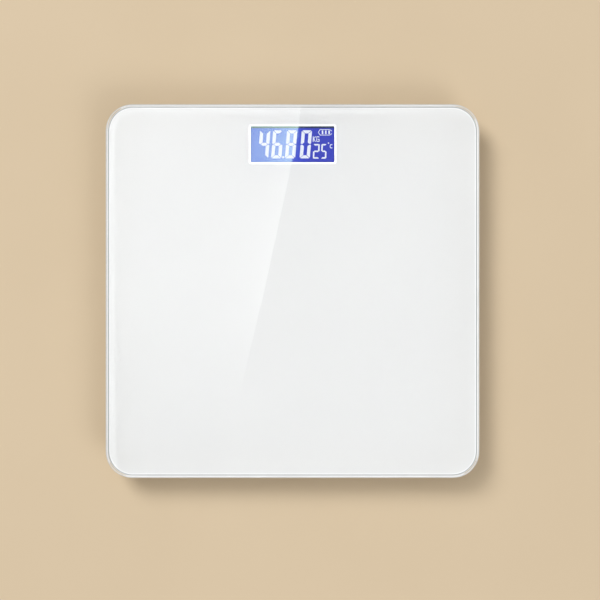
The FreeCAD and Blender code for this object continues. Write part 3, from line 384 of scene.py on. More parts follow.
@dataclass(frozen=True)
class Moulding(Finish):
    """Moulded plastic or rubber, pitted by its mould, with rubbed edges and some dust; where
    painted_glow is set, it also shines by itself in its own colour, as painted light.
    """

    colour: Colour = (0.8, 0.8, 0.8)
    shade: Colour = (0.7, 0.7, 0.7)
    worn: Colour = (0.88, 0.88, 0.88)
    cells: float = 1500.0
    deep: float = 0.015
    roughness: float = 0.5
    spread: float = 0.1
    dust: float = 0.12
    wear: float = 0.5
    sheen: float = 0.0
    painted_glow: float = 0.0

    def make(self, shelf: Shelf) -> bpy.types.Material:
        """Makes the material."""
        material, bench, shader = self.start()
        grain = shelf.use(bench, shelf.grain, Cells=self.cells)
        wear = shelf.use(bench, shelf.wear, Amount=self.wear)
        dust = shelf.use(bench, shelf.dust, Amount=self.dust)
        paint = bench.blend(grain.outputs["Tone"], self.colour, self.shade)
        paint = bench.blend(wear.outputs["Mask"], paint, self.worn)
        paint = bench.blend(dust.outputs["Mask"], paint, (0.55, 0.53, 0.5))
        bench.feed(shader.inputs["Base Color"], paint)
        rough = bench.ramp(grain.outputs["Tone"], 0.0, 1.0, self.roughness - self.spread,
                           self.roughness + self.spread)
        polished = bench.math("MULTIPLY", wear.outputs["Mask"], -0.2)
        bench.feed(shader.inputs["Roughness"], bench.math("ADD", rough, polished))
        shader.inputs["Sheen Weight"].default_value = self.sheen
        # Painted glow: the plastic shines by itself in its own colour.
        if self.painted_glow:
            bench.feed(shader.inputs["Emission Color"], paint)
            shader.inputs["Emission Strength"].default_value = self.painted_glow
        self.bump(bench, shader, grain.outputs["Height"], self.deep)
        return material


@dataclass(frozen=True)
class Plated(Finish):
    """Rolled, drawn or plated metal with fine streaks and a little tarnish."""

    colour: Colour = (0.65, 0.65, 0.66)
    tarnish: Colour = (0.5, 0.49, 0.47)
    lines: float = 3000.0
    deep: float = 0.004
    roughness: float = 0.3
    wear: float = 0.4

    def make(self, shelf: Shelf) -> bpy.types.Material:
        """Makes the material."""
        material, bench, shader = self.start()
        streaks = shelf.use(bench, shelf.streaks, Lines=self.lines)
        wear = shelf.use(bench, shelf.wear, Amount=self.wear, Width=0.0003)
        smudge = shelf.use(bench, shelf.smudge, Amount=0.5)
        paint = bench.blend(streaks.outputs["Tone"], self.colour, self.tarnish)
        bright = tuple(min(1.0, c * 1.2) for c in self.colour)
        bench.feed(shader.inputs["Base Color"],
                   bench.blend(wear.outputs["Mask"], paint, bright))
        shader.inputs["Metallic"].default_value = 1.0
        rough = bench.ramp(streaks.outputs["Tone"], 0.0, 1.0, self.roughness * 0.8,
                           self.roughness * 1.3)
        marks = bench.math("MULTIPLY", smudge.outputs["Mask"], 0.12)
        bench.feed(shader.inputs["Roughness"], bench.math("ADD", rough, marks))
        self.bump(bench, shader, streaks.outputs["Height"], self.deep)
        return material


@dataclass(frozen=True)
class Lacquer(Finish):
    """Poured resin, epoxy, ceramic or sleeve: smooth and glossy with slow ripples."""

    colour: Colour = (0.03, 0.03, 0.03)
    shade: Colour = (0.05, 0.05, 0.05)
    roughness: float = 0.2
    ripple: float = 0.02
    scale: float = 400.0
    coat: float = 0.4
    dust: float = 0.1

    def make(self, shelf: Shelf) -> bpy.types.Material:
        """Makes the material."""
        material, bench, shader = self.start()
        where = bench.place()
        slow = bench.noise(self.scale, where, 3.0)
        dust = shelf.use(bench, shelf.dust, Amount=self.dust)
        paint = bench.blend(bench.ramp(slow, 0.35, 0.65), self.colour, self.shade)
        bench.feed(shader.inputs["Base Color"],
                   bench.blend(dust.outputs["Mask"], paint, (0.5, 0.48, 0.45)))
        bench.feed(shader.inputs["Roughness"],
                   bench.ramp(slow, 0.3, 0.7, self.roughness, self.roughness + 0.15))
        shader.inputs["Coat Weight"].default_value = self.coat
        shader.inputs["Coat Roughness"].default_value = 0.12
        self.bump(bench, shader, slow, self.ripple)
        return material


@dataclass(frozen=True)
class ClearGlass(Finish):
    """Polished glass that lets light through to the print on its back.

    A lamp's share that enters is one over the square of the glass's refraction, because light
    that the print scatters back up is partly kept in by the upper face and adds to it.
    """

    tint: Colour = (0.985, 0.997, 0.992)
    edge_tint: Colour = (0.93, 0.975, 0.96)
    refraction: float = 1.5

    def make(self, shelf: Shelf) -> bpy.types.Material:
        """Makes the material."""
        material, bench, shader = self.start()
        smudge = shelf.use(bench, shelf.smudge, Amount=1.0)
        wear = shelf.use(bench, shelf.wear, Amount=0.6, Width=0.0008)
        bench.feed(shader.inputs["Base Color"],
                   bench.blend(wear.outputs["Mask"], self.tint, self.edge_tint))
        rough = bench.math("MULTIPLY", smudge.outputs["Mask"], 0.012)
        bench.feed(shader.inputs["Roughness"], bench.math("ADD", rough, 0.004))
        shader.inputs["IOR"].default_value = self.refraction
        shader.inputs["Transmission Weight"].default_value = 1.0
        waves = bench.noise(14.0, bench.place(), 1.0)
        self.bump(bench, shader, waves, 0.004)
        enters = 1.0 / self.refraction ** 2
        through = bench.add("BsdfTransparent", Color=(enters, enters, enters, 1.0))
        path = bench.add("LightPath")
        mix = bench.add("MixShader")
        bench.feed(mix.inputs[0], path.outputs["Is Shadow Ray"])
        bench.feed(mix.inputs[1], shader.outputs["BSDF"])
        bench.feed(mix.inputs[2], through.outputs["BSDF"])
        out = bench.tree.nodes["Material Output"]
        bench.feed(out.inputs["Surface"], mix.outputs["Shader"])
        return material


@dataclass(frozen=True)
class PrintedFilm(Finish):
    """White ink screen printed in a fine mesh on film."""

    colour: Colour = (0.85, 0.853, 0.856)
    shade: Colour = (0.838, 0.841, 0.845)

    def make(self, shelf: Shelf) -> bpy.types.Material:
        """Makes the material."""
        material, bench, shader = self.start()
        where = bench.place()
        dots = bench.add("TexVoronoi", {"feature": "F1"}, Vector=where, Scale=2600.0,
                         Randomness=0.15)
        cloud = bench.noise(9.0, where, 4.0)
        tone = bench.math("ADD", bench.math("MULTIPLY", dots.outputs["Distance"], 0.4),
                          bench.ramp(cloud, 0.35, 0.65, 0.0, 0.6))
        bench.feed(shader.inputs["Base Color"], bench.blend(tone, self.colour, self.shade))
        bench.feed(shader.inputs["Roughness"], bench.ramp(cloud, 0.3, 0.7, 0.48, 0.6))
        self.bump(bench, shader, dots.outputs["Distance"], 0.004)
        return material


@dataclass(frozen=True)
class Foam(Finish):
    """Acrylic foam tape with open cells on its cut edges."""

    colour: Colour = (0.8, 0.8, 0.78)
    shade: Colour = (0.66, 0.66, 0.64)

    def make(self, shelf: Shelf) -> bpy.types.Material:
        """Makes the material."""
        material, bench, shader = self.start()
        where = bench.place()
        cells = bench.add("TexVoronoi", {"feature": "DISTANCE_TO_EDGE"}, Vector=where,
                          Scale=2800.0)
        walls = bench.ramp(cells.outputs["Distance"], 0.0, 0.25)
        bench.feed(shader.inputs["Base Color"], bench.blend(walls, self.colour, self.shade))
        bench.feed(shader.inputs["Roughness"],
                   bench.ramp(bench.noise(500.0, where), 0.3, 0.7, 0.7, 0.95))
        shader.inputs["Sheen Weight"].default_value = 0.2
        self.bump(bench, shader, walls, 0.05)
        return material


@dataclass(frozen=True)
class LitPolariser(Finish):
    """The display's face: a tinted film over a blue light, which mirrors the room, with its glow
    painted brighter from edge_x to fade_x, a painted highlight beside the mirrored softbox's
    edge.
    """

    glow: Colour = (0.03, 0.032, 0.5)
    highlight_glow: Colour = (0.032, 0.045, 0.6)
    edge_x: float = 4.0
    fade_x: float = 16.0

    def make(self, shelf: Shelf) -> bpy.types.Material:
        """Makes the material."""
        material, bench, shader = self.start()
        where = bench.place()
        along = bench.add("SeparateXYZ", Vector=where).outputs["X"]
        # Painted highlight: the glow is brightest left of edge_x and fades out by fade_x, along
        # where the softbox's mirrored edge crosses the display.
        near = bench.ramp(along, self.edge_x * MM, self.fade_x * MM, 1.0, 0.0)
        cloud = bench.noise(120.0, where, 2.0)
        near = bench.math("MULTIPLY", near, bench.ramp(cloud, 0.2, 0.8, 0.8, 1.0))
        bench.feed(shader.inputs["Emission Color"],
                   bench.blend(near, self.glow, self.highlight_glow))
        shader.inputs["Emission Strength"].default_value = 1.0
        bench.feed(shader.inputs["Base Color"],
                   bench.blend(cloud, (0.004, 0.005, 0.016), (0.007, 0.008, 0.024)))
        bench.feed(shader.inputs["Roughness"], bench.ramp(cloud, 0.2, 0.8, 0.015, 0.03))
        shader.inputs["IOR"].default_value = 3.2
        shader.inputs["Specular Tint"].default_value = (0.645, 1.0, 0.64, 1.0)
        self.bump(bench, shader, bench.noise(3000.0, where, 2.0), 0.0002)
        return material


@dataclass(frozen=True)
class LitInk(Finish):
    """A lit segment: clear liquid crystal with white light behind it."""

    colour: Colour = (0.79, 0.82, 0.92)
    shade: Colour = (0.75, 0.79, 0.92)
    strength: float = 1.0

    def make(self, shelf: Shelf) -> bpy.types.Material:
        """Makes the material."""
        material, bench, shader = self.start()
        cloud = bench.noise(900.0, bench.place(), 2.0)
        tone = bench.ramp(cloud, 0.3, 0.7)
        bench.feed(shader.inputs["Emission Color"], bench.blend(tone, self.colour, self.shade))
        shader.inputs["Emission Strength"].default_value = self.strength
        bench.feed(shader.inputs["Base Color"],
                   bench.blend(tone, (0.1, 0.105, 0.12), (0.08, 0.085, 0.1)))
        bench.feed(shader.inputs["Roughness"], bench.ramp(cloud, 0.2, 0.8, 0.12, 0.2))
        self.bump(bench, shader, cloud, 0.001)
        return material


@dataclass(frozen=True)
class Laminate(Finish):
    """Solder resist over copper tracks on glass fibre board."""

    resist: Colour = (0.012, 0.12, 0.045)
    track: Colour = (0.035, 0.21, 0.075)
    fibre: Colour = (0.45, 0.42, 0.25)

    def make(self, shelf: Shelf) -> bpy.types.Material:
        """Makes the material."""
        material, bench, shader = self.start()
        where = bench.place()
        runs = bench.add("TexVoronoi", {"feature": "F1", "distance": "CHEBYCHEV"},
                         Vector=bench.place((1.0, 0.45, 0.0)), Scale=300.0, Randomness=0.85)
        rings = bench.math("PINGPONG", runs.outputs["Distance"], 0.16)
        lines = bench.ramp(rings, 0.07, 0.1)
        weave = bench.add("TexWave", {"wave_type": "BANDS"}, Vector=where, Scale=500.0,
                          Distortion=1.0)
        paint = bench.blend(lines, self.resist, self.track)
        side = bench.add("SeparateXYZ", Vector=bench.add("NewGeometry").outputs["Normal"])
        edge = bench.ramp(bench.math("ABSOLUTE", side.outputs["Z"]), 0.5, 0.3)
        bench.feed(shader.inputs["Base Color"], bench.blend(edge, paint, self.fibre))
        bench.feed(shader.inputs["Roughness"],
                   bench.ramp(bench.noise(700.0, where), 0.3, 0.7, 0.22, 0.4))
        shader.inputs["Coat Weight"].default_value = 0.35
        height = bench.math("ADD", lines, bench.math("MULTIPLY", weave.outputs["Fac"], 0.25))
        self.bump(bench, shader, height, 0.03)
        return material


@dataclass(frozen=True)
class BatteryPrint(Finish):
    """A cell's printed sleeve with bare metal at both ends and a band near its nipple."""

    nipple_side: float = 1.0
    half_long: float = 22.25
    bare: float = 1.3
    band: float = 9.0
    sleeve: Colour = (0.022, 0.026, 0.034)
    band_colour: Colour = (0.55, 0.27, 0.09)
    metal: Colour = (0.68, 0.67, 0.64)

    def make(self, shelf: Shelf) -> bpy.types.Material:
        """Makes the material."""
        material, bench, shader = self.start()
        where = bench.place()
        x = bench.add("SeparateXYZ", Vector=where).outputs["X"]
        toward = bench.math("MULTIPLY", x, self.nipple_side)
        bare_at = (self.half_long - self.bare) * MM
        bare = bench.math("GREATER_THAN", bench.math("ABSOLUTE", x), bare_at)
        band = bench.math("GREATER_THAN", toward, (self.half_long - self.band) * MM)
        stripe = bench.math("LESS_THAN", bench.math("ABSOLUTE", bench.math(
            "SUBTRACT", toward, (self.half_long - self.band - 0.9) * MM)), 0.25 * MM)
        cloud = bench.noise(240.0, where, 4.0)
        smudge = shelf.use(bench, shelf.smudge, Amount=1.0)
        paint = bench.blend(bench.ramp(cloud, 0.3, 0.7), self.sleeve,
                            tuple(c * 1.5 for c in self.sleeve))
        paint = bench.blend(band, paint, self.band_colour)
        paint = bench.blend(stripe, paint, (0.7, 0.7, 0.7))
        bench.feed(shader.inputs["Base Color"], bench.blend(bare, paint, self.metal))
        bench.feed(shader.inputs["Metallic"], bench.math("MAXIMUM", bare, bench.math(
            "MULTIPLY", band, 0.7)))
        rough = bench.ramp(cloud, 0.3, 0.7, 0.24, 0.34)
        bench.feed(shader.inputs["Roughness"], bench.math("ADD", rough, bench.math(
            "MULTIPLY", smudge.outputs["Mask"], 0.1)))
        self.bump(bench, shader, bench.math("SUBTRACT", 1.0, bare), 0.05)
        return material


@dataclass(frozen=True)
class LayeredRubber(Finish):
    """Contact strip: thin black conducting layers between pink insulating ones, along X."""

    pink: Colour = (0.62, 0.3, 0.28)
    black: Colour = (0.03, 0.03, 0.03)
    layers: float = 2200.0

    def make(self, shelf: Shelf) -> bpy.types.Material:
        """Makes the material."""
        material, bench, shader = self.start()
        where = bench.place()
        x = bench.add("SeparateXYZ", Vector=where).outputs["X"]
        wave = bench.math("SINE", bench.math("MULTIPLY", x, self.layers * TURN))
        lines = bench.ramp(wave, -0.2, 0.2)
        fine = bench.noise(800.0, where)
        bench.feed(shader.inputs["Base Color"], bench.blend(lines, self.pink, self.black))
        bench.feed(shader.inputs["Roughness"], bench.ramp(fine, 0.3, 0.7, 0.55, 0.75))
        self.bump(bench, shader, lines, 0.01)
        return material


@dataclass(frozen=True)
class TintedPane(Finish):
    """Thin display glass or acrylic, tinted and partly clear."""

    colour: Colour = (0.6, 0.72, 0.74)
    shade: Colour = (0.55, 0.66, 0.7)
    transmission: float = 0.7
    roughness: float = 0.04
    glow: Colour = (0.0, 0.0, 0.0)
    ior: float = 1.5

    def make(self, shelf: Shelf) -> bpy.types.Material:
        """Makes the material."""
        material, bench, shader = self.start()
        where = bench.place()
        cloud = bench.noise(180.0, where, 3.0)
        tone = bench.ramp(cloud, 0.3, 0.7)
        bench.feed(shader.inputs["Base Color"], bench.blend(tone, self.colour, self.shade))
        bench.feed(shader.inputs["Roughness"],
                   bench.ramp(cloud, 0.3, 0.7, self.roughness, self.roughness + 0.05))
        shader.inputs["Transmission Weight"].default_value = self.transmission
        shader.inputs["IOR"].default_value = self.ior
        if any(self.glow):
            dim = tuple(c * 0.8 for c in self.glow)
            bench.feed(shader.inputs["Emission Color"], bench.blend(tone, self.glow, dim))
            shader.inputs["Emission Strength"].default_value = 1.0
        self.bump(bench, shader, bench.noise(2000.0, where), 0.001)
        return material


@dataclass(frozen=True)
class FloorPaint(Finish):
    """Plain pale floor with barely seen mottling."""

    colour: Colour = (0.637, 0.51, 0.349)
    shade: Colour = (0.623, 0.498, 0.34)

    def make(self, shelf: Shelf) -> bpy.types.Material:
        """Makes the material."""
        material, bench, shader = self.start()
        cloud = bench.noise(6.0, bench.place(), 4.0)
        bench.feed(shader.inputs["Base Color"],
                   bench.blend(bench.ramp(cloud, 0.3, 0.7), self.colour, self.shade))
        bench.feed(shader.inputs["Roughness"], bench.ramp(cloud, 0.3, 0.7, 0.7, 0.8))
        return material


# Meshes


def new_piece(name: str, mesh: bmesh.types.BMesh, material: bpy.types.Material,
              body: Body, smooth_under: float = 0.0) -> bpy.types.Object:
    """Turns a built mesh into a piece that rides a body.

    Args:
        name: the piece's name.
        mesh: the built mesh in metres, which is freed.
        material: its finish.
        body: the body that it rides.
        smooth_under: edges flatter than this many degrees are shaded smooth.

    Returns:
        The piece.
    """
    bmesh.ops.recalc_face_normals(mesh, faces=mesh.faces)
    data = bpy.data.meshes.new(name)
    mesh.to_mesh(data)
    mesh.free()
    data.materials.append(material)
    if smooth_under:
        data.shade_smooth()
        data.set_sharp_from_angle(angle=math.radians(smooth_under))
    piece = bpy.data.objects.new(name, data)
    bpy.context.scene.collection.objects.link(piece)
    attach(piece, body.value)
    log.info("%s: %d faces on %s", name, len(data.polygons), body.value)
    return piece


def prism(mesh: bmesh.types.BMesh, outline: Sequence[Point], low: float,
          high: float) -> None:
    """Adds a flat plate with straight sides.

    Args:
        mesh: the mesh that it joins.
        outline: its corners in order, in millimetres.
        low: the height of its underside.
        high: the height of its upper face.
    """
    base = [mesh.verts.new((x * MM, y * MM, low * MM)) for x, y in outline]
    top = [mesh.verts.new((x * MM, y * MM, high * MM)) for x, y in outline]
    mesh.faces.new(list(reversed(base)))
    mesh.faces.new(top)
    for i, corner in enumerate(base):
        j = (i + 1) % len(base)
        mesh.faces.new((corner, base[j], top[j], top[i]))


def rounded_box(wide: float, deep: float, corner: float, centre: Point = (0.0, 0.0),
                steps: int = 12) -> list[Point]:
    """Gives a rectangle with round corners.

    Args:
        wide: its size along X.
        deep: its size along Y.
        corner: the radius of its corners.
        centre: its middle.
        steps: points on each corner, less one.

    Returns:
        Its outline, anticlockwise.
    """
    points = []
    for quarter, (sx, sy) in enumerate(((1, 1), (-1, 1), (-1, -1), (1, -1))):
        for step in range(steps + 1):
            angle = (quarter + step / steps) * TURN / 4
            points.append((centre[0] + sx * (wide / 2 - corner) + corner * math.cos(angle),
                           centre[1] + sy * (deep / 2 - corner) + corner * math.sin(angle)))
    return points


def ring_plate(mesh: bmesh.types.BMesh, outer: Sequence[Point], inner: Sequence[Point],
               low: float, high: float) -> None:
    """Adds a flat plate with a hole; both outlines have the same number of points.

    Args:
        mesh: the mesh that it joins.
        outer: its outline.
        inner: the outline of its hole.
        low: the height of its underside.
        high: the height of its upper face.
    """
    rings = [[mesh.verts.new((x * MM, y * MM, z * MM)) for x, y in line]
             for line, z in ((outer, low), (outer, high), (inner, high), (inner, low))]
    count = len(outer)
    for first, second in zip(rings, rings[1:] + rings[:1]):
        for i in range(count):
            j = (i + 1) % count
            mesh.faces.new((first[i], first[j], second[j], second[i]))


def circle(centre: Point, radius: float, sides: int = 32) -> list[Point]:
    """Gives a circle's outline, anticlockwise."""
    return [(centre[0] + radius * math.cos(i * TURN / sides),
             centre[1] + radius * math.sin(i * TURN / sides)) for i in range(sides)]


def solder_blob(mesh: bmesh.types.BMesh, centre: Point, base: float, radius: float = 0.85,
                high: float = 1.0, rings: int = 6) -> None:
    """Adds a joint of solder, wide at its foot and drawn up round a wire.

    Args:
        mesh: the mesh that it joins.
        centre: its middle.
        base: the height of the face that it sits on.
        radius: the radius of its foot.
        high: how high it climbs.
        rings: how many steps it climbs in.
    """
    loops = []
    for ring in range(rings + 1):
        climbed = ring / rings
        across = 0.2 * radius + 0.8 * radius * (1.0 - climbed) ** 1.6
        loops.append([mesh.verts.new((x * MM, y * MM, (base + high * climbed) * MM))
                      for x, y in circle(centre, across, 16)])
    mesh.faces.new(loops[0])
    mesh.faces.new(loops[-1])
    for lower, upper in zip(loops, loops[1:]):
        for i in range(len(lower)):
            j = (i + 1) % len(lower)
            mesh.faces.new((lower[i], lower[j], upper[j], upper[i]))


def stroke(points: Sequence[Point], wide: float, closed: bool = False) -> list[list[Point]]:
    """Gives the outline of a line of even width with mitred corners, a quad for each run.

    Args:
        points: the line's corners.
        wide: its width.
        closed: whether it comes back to its first point.

    Returns:
        One outline for each run.
    """
    spots = [Vector(p) for p in points]
    count = len(spots)
    sides = []
    for i, spot in enumerate(spots):
        back = spots[i - 1] if closed or i else None
        on = spots[(i + 1) % count] if closed or i < count - 1 else None
        ways = [(b - a).normalized() for a, b in ((back, spot), (spot, on))
                if a is not None and b is not None]
        across = [Vector((-w.y, w.x)) for w in ways]
        mitre = sum(across, Vector((0.0, 0.0))).normalized()
        reach = wide / 2 / max(MITRE_LIMIT, mitre.dot(across[0]))
        sides.append((spot + mitre * reach, spot - mitre * reach))
    runs = range(count if closed else count - 1)
    quads = []
    for i in runs:
        (left, right), (next_left, next_right) = sides[i], sides[(i + 1) % count]
        quads.append([tuple(right), tuple(next_right), tuple(next_left), tuple(left)])
    return quads


def loose_parts(node: str) -> list[bmesh.types.BMesh]:
    """Copies each separate solid of a CAD node, welded at its seams.

    Args:
        node: the CAD node.

    Returns:
        One mesh for each solid, the one with the lowest X + Y first.
    """
    whole = bmesh.new()
    whole.from_mesh(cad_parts[node].data)
    bmesh.ops.remove_doubles(whole, verts=whole.verts, dist=1e-6)
    left = set(whole.faces)
    found = []
    while left:
        seed = left.pop()
        part, queue = {seed}, [seed]
        while queue:
            for edge in queue.pop().edges:
                for face in edge.link_faces:
                    if face in left:
                        left.remove(face)
                        part.add(face)
                        queue.append(face)
        found.append(part)
    meshes = []
    for part in found:
        mesh = bmesh.new()
        made = {v: mesh.verts.new(v.co) for v in {v for f in part for v in f.verts}}
        for face in part:
            mesh.faces.new([made[v] for v in face.verts])
        meshes.append(mesh)
    whole.free()
    return sorted(meshes, key=lambda m: min(v.co.x + v.co.y for v in m.verts))


# Sub-assemblies


TRAY = Moulding("tray_plastic", colour=(0.7, 0.7, 0.685), shade=(0.665, 0.665, 0.65),
                cells=1700.0, deep=0.02, roughness=0.52)
SOLDER = Plated("solder", colour=(0.72, 0.72, 0.73), lines=900.0, roughness=0.22)


class Paintbox:
    """Makes each finish once, and dresses CAD nodes in it."""

    def __init__(self) -> None:
        """Makes the shared effects."""
        self.shelf = Shelf()
        self._made: dict[str, bpy.types.Material] = {}

    def get(self, finish: Finish) -> bpy.types.Material:
        """Gives the finish's material, made at its first use."""
        if finish.name not in self._made:
            self._made[finish.name] = finish.make(self.shelf)
        return self._made[finish.name]

    def dress(self, finish: Finish, nodes: Iterable[str]) -> None:
        """Gives CAD nodes a finish.

        Args:
            finish: the finish.
            nodes: the nodes' names.
        """
        for name in nodes:
            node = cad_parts[name]
            node.data.materials.clear()
            node.data.materials.append(self.get(finish))
            log.info("%s wears %s", name, finish.name)


def landing(mesh: bmesh.types.BMesh) -> Point:
    """Finds where the end of a wire stands on the circuit board."""
    low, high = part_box("main_board")
    over = [v.co for v in mesh.verts if low.x < v.co.x < high.x and low.y < v.co.y < high.y
            and v.co.z > high.z - 0.1 * MM]
    lowest = min(spot.z for spot in over)
    foot = [spot for spot in over if spot.z < lowest + 0.3 * MM]
    middle = sum(foot, Vector()) / len(foot) / MM
    return (middle.x, middle.y)


def extent(mesh: bmesh.types.BMesh) -> tuple[list[float], list[float]]:
    """Gives a mesh's lowest and highest corners in millimetres, and frees it."""
    sides = [sorted(v.co[axis] / MM for v in mesh.verts) for axis in range(3)]
    mesh.free()
    return [side[0] for side in sides], [side[-1] for side in sides]


def lay_strands(paints: Paintbox, node: str, colours: Iterable[tuple[str, Colour]]) -> None:
    """Builds one piece for each wire of a CAD node, and the solder at their ends.

    Args:
        paints: where the finishes come from.
        node: the CAD node that holds the wires.
        colours: each wire's colour, by name.
    """
    solder = bmesh.new()
    board_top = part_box("main_board")[1].z / MM
    for mesh, (word, colour) in zip(loose_parts(node), colours):
        solder_blob(solder, landing(mesh), board_top)
        sleeve = Lacquer(f"sleeve_{word}", colour=colour,
                         shade=tuple(c * 0.85 for c in colour), roughness=0.34,
                         ripple=0.01, scale=900.0, coat=0.15)
        piece = new_piece(f"{node}_{word}", mesh, paints.get(sleeve), Body.PLATFORM,
                          smooth_under=35.0)
        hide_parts(node)
    new_piece(f"{node}_solder", solder, paints.get(SOLDER), Body.PLATFORM,
              smooth_under=50.0)


@dataclass
class Platform:
    """The glass plate, the film printed behind it and the tape under it."""

    side: float = 280.0
    corner: float = 20.0
    film_inset: float = 1.2
    # Insets and widths of the grey rim line (painted shade) and the white rim line (painted
    # highlight).
    shade_line_inset: float = 1.68
    shade_line_wide: float = 0.45
    highlight_line_wide: float = 0.95
    window_wide: float = 65.4
    window_deep: float = 29.6
    window_corner: float = 1.6
    print_sink: float = 0.012
    ink_thick: float = 0.006

    def build(self, paints: Paintbox) -> None:
        """Dresses the glass and the tape, and builds the film and two lines along its rim: a
        grey one, painted shade where the glass edge bends the dark below into view, and a white
        one, a painted highlight of the edge.
        """
        paints.dress(ClearGlass("clear_glass"), ["glass_platform"])
        paints.dress(Foam("foam_tape"), ["bonding_tape"])
        film_low, film_high = (corner.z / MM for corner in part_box("backing_film"))
        display_y = sum(c.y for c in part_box("front_polariser")) / 2 / MM
        window = rounded_box(self.window_wide, self.window_deep, self.window_corner,
                             (0.0, display_y))
        high = film_high + self.print_sink
        film = self.sheet("film_sheet", self.inset(self.film_inset), window, film_low, high,
                          paints.get(PrintedFilm("white_film")))
        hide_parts("backing_film")
        # Both rim lines are painted light: the grey ink paints the shade seen in the glass edge,
        # the white ink paints the edge's highlight.
        middle = self.shade_line_inset + self.shade_line_wide
        shade_line_ink = PrintedFilm("painted_shade_ink", colour=(0.26, 0.265, 0.27),
                             shade=(0.23, 0.235, 0.24))
        bright = PrintedFilm("painted_highlight_ink", colour=(0.97, 0.975, 0.98),
                             shade=(0.955, 0.96, 0.97))
        for name, near, far, ink in (("painted_shade_line", self.shade_line_inset, middle, shade_line_ink),
                                     ("painted_highlight_line", middle, middle + self.highlight_line_wide,
                                      bright)):
            self.sheet(name, self.inset(near), self.inset(far), high - self.ink_thick,
                       high + self.ink_thick, paints.get(ink))

    def inset(self, by: float) -> list[Point]:
        """Gives the glass's outline drawn in by a distance."""
        side = self.side - 2 * by
        return rounded_box(side, side, self.corner - by)

    @staticmethod
    def sheet(name: str, outer: Sequence[Point], inner: Sequence[Point], low: float,
              high: float, material: bpy.types.Material) -> bpy.types.Object:
        """Builds one printed sheet or line with a hole.

        Args:
            name: the piece's name.
            outer: its outline.
            inner: the outline of its hole.
            low: the height of its underside.
            high: the height of its upper face.
            material: its finish.

        Returns:
            The piece.
        """
        mesh = bmesh.new()
        ring_plate(mesh, outer, inner, low, high)
        return new_piece(name, mesh, material, Body.PLATFORM)


@dataclass
class SevenBars:
    """A digit made of seven bars, some of them lit."""

    left: float
    base: float
    wide: float
    high: float
    upright: float
    level: float
    slant: float = 0.08
    gap: float = 0.26
    chamfer: float = 0.7
    cut_top_end: bool = False

    def outlines(self, lit: Iterable[Segment]) -> list[list[Point]]:
        """Gives the outline of each lit bar.

        Args:
            lit: the bars that are lit.

        Returns:
            The outlines, leaning to the right.
        """
        return [[(self.left + x + self.slant * y, self.base + y) for x, y in self._bar(bar)]
                for bar in lit]

    def _bar(self, bar: Segment) -> list[Point]:
        """Gives one bar's outline, upright, from the digit's lower left corner."""
        w, h, t, s = self.wide, self.high, self.upright, self.level
        g, c, mid = self.gap, self.chamfer, self.high / 2
        k = c / (t + s)
        if bar is Segment.MIDDLE:
            end = t * 0.45
            return [(end + g, mid), (t + g, mid - s / 2), (w - t - g, mid - s / 2),
                    (w - end - g, mid), (w - t - g, mid + s / 2), (t + g, mid + s / 2)]
        if bar in (Segment.TOP, Segment.BOTTOM):
            shape = [(c + g, h), (k * t + g, h - k * s), (t + g, h - s), (w - t - g, h - s),
                     (w - k * t - g, h - k * s), (w - c - g, h)]
            if bar is Segment.TOP and self.cut_top_end:
                shape = [*shape[:4], (w - 0.55 * t, h - 0.45 * s), (w - 0.75 * t, h)]
        else:
            shape = [(0.0, h - c - g), (k * t, h - k * s - g), (t, h - s - g),
                     (t, mid + s / 2 + g), (t * 0.45, mid + g), (0.0, mid + g + t * 0.12)]
        if bar in (Segment.BOTTOM, Segment.LOWER_LEFT, Segment.LOWER_RIGHT):
            shape = [(x, h - y) for x, y in shape]
        if bar in (Segment.UPPER_RIGHT, Segment.LOWER_RIGHT):
            shape = [(w - x, y) for x, y in shape]
        return shape


